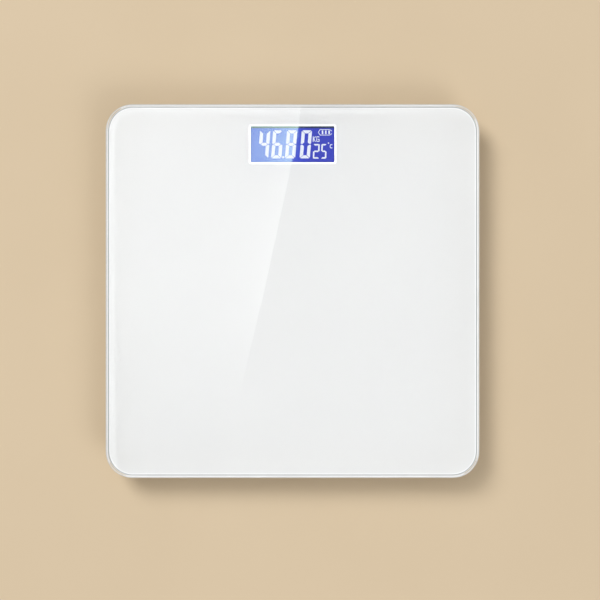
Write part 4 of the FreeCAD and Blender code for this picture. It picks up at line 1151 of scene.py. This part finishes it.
@dataclass
class Display:
    """The lit display: its panes, and everything that it shows."""

    wide: float = 63.0
    deep: float = 27.2
    lift: float = 0.02
    thick: float = 0.05
    baseline: float = 0.888
    digit_top: float = 0.112
    digit_wide: float = 7.73
    digit_starts: Mapping[str, float] = field(default_factory=lambda: {
        "4": 0.0866, "6": 0.2433, "8": 0.408, "0": 0.5834})
    digit_upright: float = 2.5
    digit_level: float = 2.3
    dot: Point = (0.388, 0.858)
    dot_radius: float = 0.85
    unit_base: Point = (0.742, 0.43)
    unit_top: Point = (0.821, 0.282)
    unit_pen: float = 0.52
    small_digits: tuple[tuple[str, float, float], ...] = (("2", 0.741, 0.825),
                                                          ("5", 0.838, 0.909))
    small_base: float = 0.895
    small_top: float = 0.491
    small_bar: float = 1.1
    small_slant: float = 0.04
    degree_at: Point = (0.929, 0.467)
    degree_radius: float = 0.4
    degree_pen: float = 0.3
    celsius_base: Point = (0.945, 0.61)
    celsius_top: Point = (0.975, 0.499)
    celsius_pen: float = 0.5
    battery_base: Point = (0.8037, 0.252)
    battery_top: Point = (0.972, 0.084)
    battery_pen: float = 0.42
    battery_tip: float = 1.6
    charge_bars: int = 3
    charge_start: float = 22.54
    charge_step: float = 2.48
    charge_half: float = 0.55
    top_shade: float = 1.5
    side_shade: float = 0.35
    ink: LitInk = LitInk("lit_segments")

    def __post_init__(self) -> None:
        """Finds the display's face in the CAD model."""
        low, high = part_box("front_polariser")
        self.face = high.z / MM
        self.mid_y = (low.y + high.y) / 2 / MM

    def spot(self, u: float, v: float) -> Point:
        """Gives the place of a point that is a share of the way across and down."""
        return ((u - 0.5) * self.wide, self.mid_y + (0.5 - v) * self.deep)

    def show(self, name: str, outlines: Iterable[Sequence[Point]],
             material: bpy.types.Material) -> None:
        """Lays lit marks on the display's face.

        Args:
            name: the piece's name.
            outlines: the outline of each mark.
            material: their finish.
        """
        mesh = bmesh.new()
        low = self.face + self.lift
        for outline in outlines:
            prism(mesh, outline, low, low + self.thick)
        new_piece(name, mesh, material, Body.PLATFORM)

    def build(self, paints: Paintbox) -> None:
        """Dresses the display's layers and builds what it shows."""
        paints.dress(LitPolariser("polariser"), ["front_polariser"])
        paints.dress(TintedPane("rear_film", colour=(0.3, 0.32, 0.42), shade=(0.26, 0.28, 0.38),
                                transmission=0.5, roughness=0.12), ["rear_polariser"])
        paints.dress(TintedPane("lcd_glass"), ["lcd_front_glass", "lcd_rear_glass"])
        paints.dress(TintedPane("guide_acrylic", colour=(0.35, 0.45, 0.95),
                                shade=(0.3, 0.4, 0.9), transmission=0.6, roughness=0.1,
                                glow=(0.03, 0.05, 0.5), ior=1.49), ["light_guide"])
        paints.dress(PrintedFilm("reflector_film"), ["reflector_sheet"])
        paints.dress(LayeredRubber("zebra_rubber"), ["zebra_strip"])
        paints.dress(Lacquer("lamp_lens", colour=(0.5, 0.6, 0.95), shade=(0.42, 0.52, 0.9),
                             roughness=0.08, coat=0.8), ["backlight_lamps"])
        # The frame's white rim shines by a painted glow, standing in for the light that the
        # glass holds back from it.
        paints.dress(Moulding("frame_plastic", colour=(0.86, 0.865, 0.87),
                              shade=(0.83, 0.835, 0.84), cells=2500.0, deep=0.006,
                              roughness=0.4, dust=0.0, wear=0.0, painted_glow=0.6),
                     ["lcd_frame"])
        self.weight(paints.get(self.ink))
        self.marks(paints.get(self.ink))
        self.surround(paints)

    def weight(self, ink: bpy.types.Material) -> None:
        """Shows the weight in large digits, and the dot between them."""
        top = self.spot(0.0, self.digit_top)[1]
        for number, (digit, start) in enumerate(self.digit_starts.items()):
            left, base = self.spot(start, self.baseline)
            bars = SevenBars(left, base, self.digit_wide, top - base, self.digit_upright,
                             self.digit_level, cut_top_end=digit == "6")
            self.show(f"digit_{number + 1}", bars.outlines(DIGITS[digit]), ink)
        self.show("decimal_dot", [circle(self.spot(*self.dot), self.dot_radius)], ink)

    def marks(self, ink: bpy.types.Material) -> None:
        """Shows the weight's unit, the temperature and the battery."""
        self.show("weight_unit", self.letters(), ink)
        temperature = []
        for digit, start, end in self.small_digits:
            left, base = self.spot(start, self.small_base)
            wide = (end - start) * self.wide
            high = self.spot(0.0, self.small_top)[1] - base
            bars = SevenBars(left, base, wide - self.small_slant * high, high, self.small_bar,
                             self.small_bar, slant=self.small_slant, gap=0.09, chamfer=0.4)
            temperature += bars.outlines(DIGITS[digit])
        self.show("room_temperature", temperature, ink)
        self.show("degree_mark", self.degree(), ink)
        self.show("battery_mark", self.battery(), ink)

    def letters(self) -> list[list[Point]]:
        """Draws the unit: a K, then a G."""
        left, base = self.spot(*self.unit_base)
        right, top = self.spot(*self.unit_top)
        wide, high = right - left, top - base
        pen, half = self.unit_pen, wide * 0.46
        edge = pen / 2

        def at(x: float, y: float) -> Point:
            """Places a point of the letters."""
            return (left + x, base + y)

        k = stroke([at(edge, 0), at(edge, high)], pen)
        k += stroke([at(pen + 0.06, high * 0.5), at(half - edge, high)], pen)
        k += stroke([at(pen + 0.12, high * 0.56), at(half - edge, 0)], pen)
        g = stroke([at(wide - edge, high * 0.82), at(wide - edge - 0.25, high - edge),
                    at(wide - half + 0.45, high - edge), at(wide - half + edge, high * 0.8),
                    at(wide - half + edge, high * 0.2), at(wide - half + 0.45, edge),
                    at(wide - edge - 0.05, edge), at(wide - edge, high * 0.46),
                    at(wide - half + 1.15, high * 0.46)], pen)
        return k + g

    def degree(self) -> list[list[Point]]:
        """Draws the degree ring and the C."""
        ring = circle(self.spot(*self.degree_at), self.degree_radius, 16)
        left, base = self.spot(*self.celsius_base)
        right, top = self.spot(*self.celsius_top)
        edge = self.celsius_pen / 2
        c = stroke([(right, top - edge - 0.1), (left + 0.7, top - edge),
                    (left + edge, top - 0.9), (left + edge, base + 0.9),
                    (left + 0.7, base + edge), (right, base + edge + 0.1)],
                   self.celsius_pen)
        return stroke(ring, self.degree_pen, closed=True) + c

    def battery(self) -> list[list[Point]]:
        """Draws the battery outline, open at its right, with three bars of charge."""
        left, base = self.spot(*self.battery_base)
        right, top = self.spot(*self.battery_top)
        mid, pen, tip = (base + top) / 2, self.battery_pen, self.battery_tip
        edge = pen / 2
        lines = stroke([(right - tip, top - edge), (left + tip, top - edge),
                        (left + edge, mid), (left + tip, base + edge),
                        (right - tip, base + edge)], pen)
        lines += stroke([(right - tip + 0.12, top - edge - 0.1), (right - 0.2, mid + 0.9)], pen)
        lines += stroke([(right - tip + 0.12, base + edge + 0.1), (right - 0.2, mid - 0.9)],
                        pen)
        high = (top - base) / 2 - pen - 0.5
        for bar in range(self.charge_bars):
            x = self.charge_start + self.charge_step * bar
            near, far = x - self.charge_half, x + self.charge_half
            lines.append([(near, mid - high), (far, mid - high), (far, mid + high),
                          (near, mid + high)])
        return lines

    def surround(self, paints: Paintbox) -> None:
        """Lays a dark strip along the display's top and sides: painted shade where the frame's
        rim shades the display.
        """
        # Painted shade: a dim strip, widest at the top, laid where the frame's recess shades the
        # display.
        dark = paints.get(LitPolariser("display_painted_shade", glow=(0.008, 0.008, 0.075),
                                       highlight_glow=(0.009, 0.01, 0.09)))
        half = self.side_shade
        (left, top), (right, base) = self.spot(0, 0), self.spot(1, 1)
        outer = [(right, top), (left, top), (left, base), (right, base)]
        inner = [(right - half, top - self.top_shade), (left + half, top - self.top_shade),
                 (left + half, base + half), (right - half, base + half)]
        mesh = bmesh.new()
        ring_plate(mesh, outer, inner, self.face + 0.004, self.face + self.lift)
        new_piece("display_painted_shade", mesh, dark, Body.PLATFORM)


@dataclass
class Base:
    """The moulded tray, its feet and what is marked on its underside."""

    raised: float = 0.4
    rooted: float = 0.05
    sign_x: float = 34.0
    sign_reach: float = 1.8
    sign_pen: float = 0.7
    dial_place: Point = (-62.0, 40.0)
    dial_radius: float = 5.0
    arrow_back: float = 21.0
    arrow_half: float = 3.2
    arrow_long: float = 3.4
    arrow_pen: float = 1.0
    ribs: int = 4
    rib_back: float = 13.5
    rib_step: float = 2.0
    rib_long: float = 18.0
    rib_wide: float = 0.9
    label_margin: float = 2.0
    label_line: float = 0.3
    label_rows: int = 4
    label_ink: float = 0.01

    def build(self, paints: Paintbox) -> None:
        """Dresses the tray, feet and label, and builds the raised and printed marks."""
        paints.dress(TRAY, ["base_tray", "battery_door"])
        corners = [corner.value for corner in Corner]
        paints.dress(Moulding("holder_plastic", colour=(0.62, 0.62, 0.6),
                              shade=(0.57, 0.57, 0.56), cells=1300.0, roughness=0.45),
                     [f"cell_holder_{c}" for c in corners])
        paints.dress(Moulding("foot_plastic", colour=(0.66, 0.66, 0.645),
                              shade=(0.61, 0.61, 0.6), cells=1500.0, roughness=0.42),
                     [f"foot_cap_{c}" for c in corners])
        paints.dress(Moulding("foot_rubber", colour=(0.42, 0.42, 0.41),
                              shade=(0.36, 0.36, 0.355), worn=(0.5, 0.5, 0.49), cells=900.0,
                              deep=0.03, roughness=0.78, sheen=0.15),
                     [f"foot_pad_{c}" for c in corners])
        paints.dress(Moulding("label_paper", colour=(0.62, 0.63, 0.64),
                              shade=(0.58, 0.59, 0.6), cells=3500.0, deep=0.004,
                              roughness=0.35, wear=0.2), ["rating_label"])
        self.door_marks(paints)
        self.tray_marks(paints)
        self.label_marks(paints)

    def raise_marks(self, name: str, outlines: Iterable[Sequence[Point]], body: Body,
                    paints: Paintbox) -> None:
        """Moulds marks that stand down from the underside.

        Args:
            name: the piece's name.
            outlines: the outline of each mark.
            body: the body that they ride.
            paints: where the finish comes from.
        """
        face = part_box("base_tray")[0].z / MM
        mesh = bmesh.new()
        for outline in outlines:
            prism(mesh, outline, face - self.raised, face + self.rooted)
        new_piece(name, mesh, paints.get(TRAY), body)

    def door_marks(self, paints: Paintbox) -> None:
        """Moulds an arrow and grip ribs on the battery door, toward its latch."""
        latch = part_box("battery_door")[1].y / MM
        back = latch - self.arrow_back
        arrow = stroke([(-self.arrow_half, back), (0.0, back + self.arrow_long),
                        (self.arrow_half, back)], self.arrow_pen)
        self.raise_marks("door_arrow", arrow, Body.DOOR, paints)
        ribs = [rounded_box(self.rib_long, self.rib_wide, 0.4,
                            (0.0, latch - self.rib_back + self.rib_step * i), steps=4)
                for i in range(self.ribs)]
        self.raise_marks("door_ribs", ribs, Body.DOOR, paints)

    def tray_marks(self, paints: Paintbox) -> None:
        """Moulds plus and minus signs beside the door, and a mould maker's dial."""
        signs = []
        for number, side in ((1, 1.0), (2, -1.0)):
            low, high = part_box(f"battery_{number}")
            y = (low.y + high.y) / 2 / MM
            for x in (self.sign_x, -self.sign_x):
                signs += stroke([(x - self.sign_reach, y), (x + self.sign_reach, y)],
                                self.sign_pen)
                if x * side > 0:
                    for way in (1, -1):
                        signs += stroke([(x, y + way * self.sign_pen / 2),
                                         (x, y + way * self.sign_reach)], self.sign_pen)
        self.raise_marks("polarity_signs", signs, Body.PLATFORM, paints)
        x, y = self.dial_place
        dial = stroke(circle(self.dial_place, self.dial_radius, 48), 0.4, closed=True)
        for i in range(12):
            way = Vector((math.cos(i * TURN / 12), math.sin(i * TURN / 12)))
            ends = [Vector((x, y)) + way * self.dial_radius * share for share in (0.68, 0.9)]
            dial += stroke([tuple(end) for end in ends], 0.35)
        dial += stroke([(x, y - 2.2), (x, y + 1.0)], 0.5)
        dial += [[(x - 0.9, y + 1.0), (x + 0.9, y + 1.0), (x, y + 2.4)]]
        self.raise_marks("mould_dial", dial, Body.PLATFORM, paints)

    def label_marks(self, paints: Paintbox) -> None:
        """Prints an empty ruled frame on the label."""
        low, high = (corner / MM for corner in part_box("rating_label"))
        centre = ((low.x + high.x) / 2, (low.y + high.y) / 2)
        wide = high.x - low.x - 2 * self.label_margin
        deep = high.y - low.y - 2 * self.label_margin
        under, over = low.z - self.label_ink, low.z + self.label_ink
        mesh = bmesh.new()
        ring_plate(mesh, rounded_box(wide, deep, 1.2, centre),
                   rounded_box(wide - 2 * self.label_line, deep - 2 * self.label_line, 0.9,
                               centre), under, over)
        for row in range(1, self.label_rows):
            y = centre[1] + deep * (0.5 - row / self.label_rows)
            for outline in stroke([(centre[0] - wide / 2 + 1.5, y),
                                   (centre[0] + wide / 2 - 1.5, y)], self.label_line * 0.7):
                prism(mesh, outline, under, over)
        ink = Lacquer("label_ink", colour=(0.08, 0.085, 0.09), shade=(0.11, 0.115, 0.12),
                      roughness=0.4, ripple=0.002, coat=0.0)
        new_piece("label_lines", mesh, paints.get(ink), Body.PLATFORM)


@dataclass
class Weighing:
    """The load cells with their gauges, screws and wires."""

    wire_colours: tuple[tuple[str, Colour], ...] = (
        ("black", (0.012, 0.012, 0.014)), ("red", (0.5, 0.02, 0.015)),
        ("white", (0.72, 0.72, 0.7)))

    def build(self, paints: Paintbox) -> None:
        """Dresses the cells and builds their wires strand by strand."""
        corners = [corner.value for corner in Corner]
        paints.dress(Plated("cell_steel", colour=(0.56, 0.57, 0.6), lines=2200.0,
                            roughness=0.34), [f"load_cell_{c}" for c in corners])
        paints.dress(Lacquer("gauge_coat", colour=(0.78, 0.77, 0.7), shade=(0.72, 0.7, 0.62),
                             roughness=0.3, ripple=0.08), [f"strain_gauge_{c}" for c in corners])
        paints.dress(Plated("screw_steel", colour=(0.62, 0.63, 0.66), lines=4500.0,
                            roughness=0.25), ["holder_screws", "board_screws"])
        for corner in corners:
            lay_strands(paints, f"cell_wires_{corner}", self.wire_colours)


@dataclass
class Electronics:
    """The circuit board, its parts, the unit button and the battery's leads."""

    lead_colours: tuple[tuple[str, Colour], ...] = (
        ("black", (0.012, 0.012, 0.014)), ("red", (0.5, 0.02, 0.015)))
    hole_columns: tuple[float, ...] = (-41.0, -38.5, 38.5, 60.0)
    hole_rows: int = 8
    hole_start: float = 95.5
    hole_step: float = 2.6
    pad_radius: float = 0.55
    hole_radius: float = 0.25
    tin_proud: float = 0.03
    tin_long: float = 0.35
    sleeve_thick: float = 0.1
    sleeve_lap: float = 0.02
    sleeve_start: float = 0.15
    sleeve_stop: float = 0.35

    def build(self, paints: Paintbox) -> None:
        """Dresses the board and its parts."""
        paints.dress(Laminate("board_laminate"), ["main_board"])
        paints.dress(Lacquer("resin_black", roughness=0.18, ripple=0.1), ["processor_cap"])
        paints.dress(Plated("capacitor_can", colour=(0.55, 0.56, 0.6), roughness=0.3),
                     ["board_capacitors"])
        paints.dress(Lacquer("resistor_body", colour=(0.02, 0.02, 0.022),
                             shade=(0.03, 0.03, 0.03), roughness=0.35), ["board_resistors"])
        paints.dress(Plated("crystal_can", colour=(0.7, 0.7, 0.71), roughness=0.2), ["crystal"])
        paints.dress(Lacquer("thermistor_bead", colour=(0.05, 0.015, 0.01),
                             shade=(0.07, 0.02, 0.014), roughness=0.12), ["thermistor"])
        paints.dress(Moulding("switch_case", colour=(0.035, 0.035, 0.037),
                              shade=(0.045, 0.045, 0.047), worn=(0.09, 0.09, 0.09),
                              roughness=0.4), ["unit_switch"])
        paints.dress(Moulding("plunger_plastic", colour=(0.08, 0.08, 0.08),
                              shade=(0.1, 0.1, 0.1), roughness=0.38), ["switch_plunger"])
        paints.dress(Moulding("button_plastic", colour=(0.28, 0.31, 0.36),
                              shade=(0.25, 0.28, 0.33), worn=(0.4, 0.43, 0.47), cells=2200.0,
                              roughness=0.36), ["unit_button"])
        lay_strands(paints, "battery_leads", self.lead_colours)
        self.legend(paints)
        self.tinned(paints)
        self.sleeves(paints)


    def legend(self, paints: Paintbox) -> None:
        """Prints white outlines round the board's parts, and tins its plated holes."""
        mesh = bmesh.new()
        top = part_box("main_board")[1].z / MM
        boxes = [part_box(node) for node in ("processor_cap", "crystal", "thermistor")]
        for low, high in ((a / MM, b / MM) for a, b in boxes):
            wide, deep = (high.x - low.x, high.y - low.y)
            centre = ((low.x + high.x) / 2, (low.y + high.y) / 2)
            ring_plate(mesh, rounded_box(wide + 1.2, deep + 1.2, 0.6, centre),
                       rounded_box(wide + 0.9, deep + 0.9, 0.5, centre), top - 0.01, top + 0.02)
        ink = PrintedFilm("legend_ink", colour=(0.8, 0.8, 0.78), shade=(0.74, 0.74, 0.72))
        new_piece("board_legend", mesh, paints.get(ink), Body.PLATFORM)
        holes = bmesh.new()
        for x in self.hole_columns:
            for row in range(self.hole_rows):
                y = self.hole_start + self.hole_step * row
                ring_plate(holes, circle((x, y), self.pad_radius, 20),
                           circle((x, y), self.hole_radius, 20), top - 0.01, top + 0.04)
        new_piece("plated_holes", holes, paints.get(SOLDER), Body.PLATFORM)

    def tinned(self, paints: Paintbox) -> None:
        """Tins both ends of each resistor."""
        mesh = bmesh.new()
        proud, long = self.tin_proud, self.tin_long
        for (x0, y0, z0), (x1, y1, z1) in map(extent, loose_parts("board_resistors")):
            near, far = y0 - proud, y1 + proud
            for start, end in ((x0 - proud, x0 + long), (x1 - long, x1 + proud)):
                prism(mesh, [(start, near), (end, near), (end, far), (start, far)],
                      z0, z1 + proud)
        new_piece("resistor_ends", mesh, paints.get(SOLDER), Body.PLATFORM)

    def sleeves(self, paints: Paintbox) -> None:
        """Shrinks a dark sleeve round each capacitor's can."""
        mesh = bmesh.new()
        for (x0, y0, z0), (x1, y1, z1) in map(extent, loose_parts("board_capacitors")):
            centre = ((x0 + x1) / 2, (y0 + y1) / 2)
            radius = (x1 - x0) / 2
            ring_plate(mesh, circle(centre, radius + self.sleeve_thick, 40),
                       circle(centre, radius - self.sleeve_lap, 40),
                       z0 + self.sleeve_start, z1 - self.sleeve_stop)
        sleeve = Lacquer("sleeve_capacitor", colour=(0.02, 0.035, 0.09),
                         shade=(0.025, 0.042, 0.11), roughness=0.28, ripple=0.01)
        new_piece("capacitor_sleeves", mesh, paints.get(sleeve), Body.PLATFORM,
                  smooth_under=35.0)


@dataclass
class Batteries:
    """The two cells and the contacts that hold them."""

    def build(self, paints: Paintbox) -> None:
        """Dresses the cells and contacts."""
        for number, side in ((1, 1.0), (2, -1.0)):
            paints.dress(BatteryPrint(f"battery_jacket_{number}", nipple_side=side),
                         [f"battery_{number}"])
        paints.dress(Plated("contact_steel", colour=(0.7, 0.69, 0.66), lines=5000.0,
                            roughness=0.2), ["contact_bridge", "contact_positive",
                                             "contact_negative", "contact_springs"])


@dataclass(frozen=True)
class Lamp:
    """A square area light aimed at the scale, in metres and watts."""

    name: str
    place: tuple[float, float, float]
    size: float
    power: float


@dataclass
class Studio:
    """The floor, the lights, the softbox that the glass mirrors, and the camera."""

    lens: float = 100.0
    sensor: float = 36.0
    view_wide: float = 449.2
    camera_x: float = 5.6
    camera_y: float = -6.7
    panel_above: float = 350.0
    panel_left: float = -900.0
    panel_low: float = -700.0
    glass_edge: tuple[Point, ...] = ((6.9, 145.0), (4.8, 124.3), (-0.4, 96.6), (-2.5, 86.9),
                                     (-22.8, -6.7), (-40.8, -81.6), (-52.0, -125.0))
    rows: int = 60
    columns: int = 40
    brightest: float = 1.9
    air_light: float = 0.38
    air_mirrored: float = 0.15
    air_colour: tuple[float, float, float, float] = (1.0, 0.985, 0.96, 1.0)
    glow_share: float = 0.5
    glow_reach: float = 45.0
    fade_start: float = -260.0
    fade_long: float = 330.0
    floor_size: float = 3.0
    floor_drop: float = 0.0002
    lamps: tuple[Lamp, ...] = (Lamp("key_light", (-3.2, 3.6, 5.2), 3.0, 385.0),
                               Lamp("fill_light", (2.0, -2.3, 2.6), 2.0, 50.0))

    def __post_init__(self) -> None:
        """Works out the camera's place from the object's box."""
        low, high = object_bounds()
        self.centre = Vector(((low.x + high.x) / 2, (low.y + high.y) / 2, high.z))
        self.rise = self.view_wide * self.lens / self.sensor
        self.eye = self.centre + Vector((self.camera_x, self.camera_y, self.rise)) * MM

    def build(self, paints: Paintbox) -> None:
        """Sets up everything round the scale."""
        self.camera()
        self.floor(paints)
        self.lights()
        self.softbox()
        self.air()

    def camera(self) -> None:
        """Looks straight down on the glass."""
        data = bpy.data.cameras.new("camera")
        data.lens = self.lens
        data.sensor_width = self.sensor
        data.clip_end = 20.0
        eye = bpy.data.objects.new("camera", data)
        eye.location = self.eye
        bpy.context.scene.collection.objects.link(eye)
        bpy.context.scene.camera = eye

    def floor(self, paints: Paintbox) -> None:
        """Lays the floor just under the feet."""
        mesh = bmesh.new()
        bmesh.ops.create_grid(mesh, x_segments=8, y_segments=8, size=self.floor_size)
        bmesh.ops.translate(mesh, verts=mesh.verts, vec=(0, 0, -self.floor_drop))
        data = bpy.data.meshes.new("floor")
        mesh.to_mesh(data)
        mesh.free()
        data.materials.append(paints.get(FloorPaint("floor_paint")))
        floor = bpy.data.objects.new("floor", data)
        bpy.context.scene.collection.objects.link(floor)
        floor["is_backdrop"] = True

    def lights(self) -> None:
        """Hangs a large soft light above the rear left corner and a fill opposite."""
        for lamp in self.lamps:
            data = bpy.data.lights.new(lamp.name, "AREA")
            data.shape = "SQUARE"
            data.size = lamp.size
            data.energy = lamp.power
            data.cycles.use_multiple_importance_sampling = False
            light = bpy.data.objects.new(lamp.name, data)
            light.location = lamp.place
            aim = Vector((0, 0, 0)) - light.location
            light.rotation_euler = aim.to_track_quat("-Z", "Y").to_euler()
            bpy.context.scene.collection.objects.link(light)

    def softbox(self) -> None:
        """Hangs the glowing panel whose slanted right edge the glass mirrors."""
        height = self.rise + self.panel_above
        eye_x, eye_y = self.camera_x, self.camera_y
        share = height / self.rise
        edge = [(x + (x - eye_x) * share, y + (y - eye_y) * share) for x, y in self.glass_edge]
        top = edge[0][1]
        mesh = bmesh.new()
        glow = mesh.verts.layers.float.new("glow")
        grid = []
        for row in range(self.rows + 1):
            y = top + (self.panel_low - top) * row / self.rows
            right = self.edge_at(edge, y)
            line = []
            for column in range(self.columns + 1):
                x = right + (self.panel_left - right) * (column / self.columns) ** 2
                spot = mesh.verts.new(Vector((x, y, height)) * MM + self.centre)
                spot[glow] = self.glow(right - x, y)
                line.append(spot)
            grid.append(line)
        for first, second in zip(grid, grid[1:]):
            for i in range(self.columns):
                mesh.faces.new((first[i], first[i + 1], second[i + 1], second[i]))
        data = bpy.data.meshes.new("softbox")
        mesh.to_mesh(data)
        mesh.free()
        panel = bpy.data.objects.new("softbox", data)
        material = bpy.data.materials.new("softbox_light")
        material.use_nodes = True
        bench = Bench(material.node_tree)
        level = bench.add("Attribute", {"attribute_name": "glow"}).outputs["Fac"]
        mirrored = bench.math("LESS_THAN", bench.add("LightPath").outputs["Diffuse Depth"], 0.5)
        level = bench.math("MULTIPLY", level, mirrored)
        shine = bench.add("Emission", Strength=bench.math("MULTIPLY", level, self.brightest))
        bench.feed(bench.add("OutputMaterial").inputs["Surface"], shine.outputs["Emission"])
        material.cycles.emission_sampling = "NONE"
        data.materials.append(material)
        bpy.context.scene.collection.objects.link(panel)
        panel.visible_camera = False
        panel.visible_diffuse = False
        panel.visible_shadow = False
        panel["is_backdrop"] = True

    @staticmethod
    def edge_at(edge: Sequence[Point], y: float) -> float:
        """Gives the x of the panel's right edge at a y."""
        for (x0, y0), (x1, y1) in zip(edge, edge[1:]):
            if y >= y1:
                return x0 + (x1 - x0) * (y0 - y) / (y0 - y1)
        (x0, y0), (x1, y1) = edge[-2:]
        return x1 + (x1 - x0) * (y1 - y) / (y0 - y1)

    def glow(self, inward: float, y: float) -> float:
        """Gives the panel's brightness, most at its slanted edge and fading left and down.

        Args:
            inward: how far the point is to the left of the edge.
            y: its place along Y.

        Returns:
            A share of the full brightness.
        """
        share = self.glow_share
        across = 1.0 - share + share * math.exp(-inward / self.glow_reach)
        down = min(1.0, max(0.0, (y - self.fade_start) / self.fade_long))
        return across * down * down * (3 - 2 * down)

    def air(self) -> None:
        """Fills the room with pale even light."""
        scene = bpy.context.scene
        world = bpy.data.worlds.new("room")
        world.use_nodes = True
        bench = Bench(world.node_tree)
        path = bench.add("LightPath")
        unscattered = bench.math("LESS_THAN", path.outputs["Diffuse Depth"], 0.5)
        mirrored = bench.math("SUBTRACT", unscattered, path.outputs["Is Camera Ray"])
        level = bench.ramp(mirrored, 0.0, 1.0, self.air_light, self.air_mirrored)
        back = bench.add("Background", Color=self.air_colour, Strength=level)
        bench.feed(bench.add("OutputWorld").inputs["Surface"], back.outputs["Background"])
        world.cycles.sampling_method = "NONE"
        scene.world = world
        scene.view_settings.view_transform = "Standard"


def main() -> None:
    """Builds the scale's looks and the studio round it."""
    logging.basicConfig(level=logging.INFO, format="%(name)s: %(message)s")
    paints = Paintbox()
    Studio().build(paints)
    for assembly in (Platform(), Display(), Base(), Weighing(), Electronics(), Batteries()):
        log.info("building %s", type(assembly).__name__)
        assembly.build(paints)


if __name__ == "__main__":
    main()
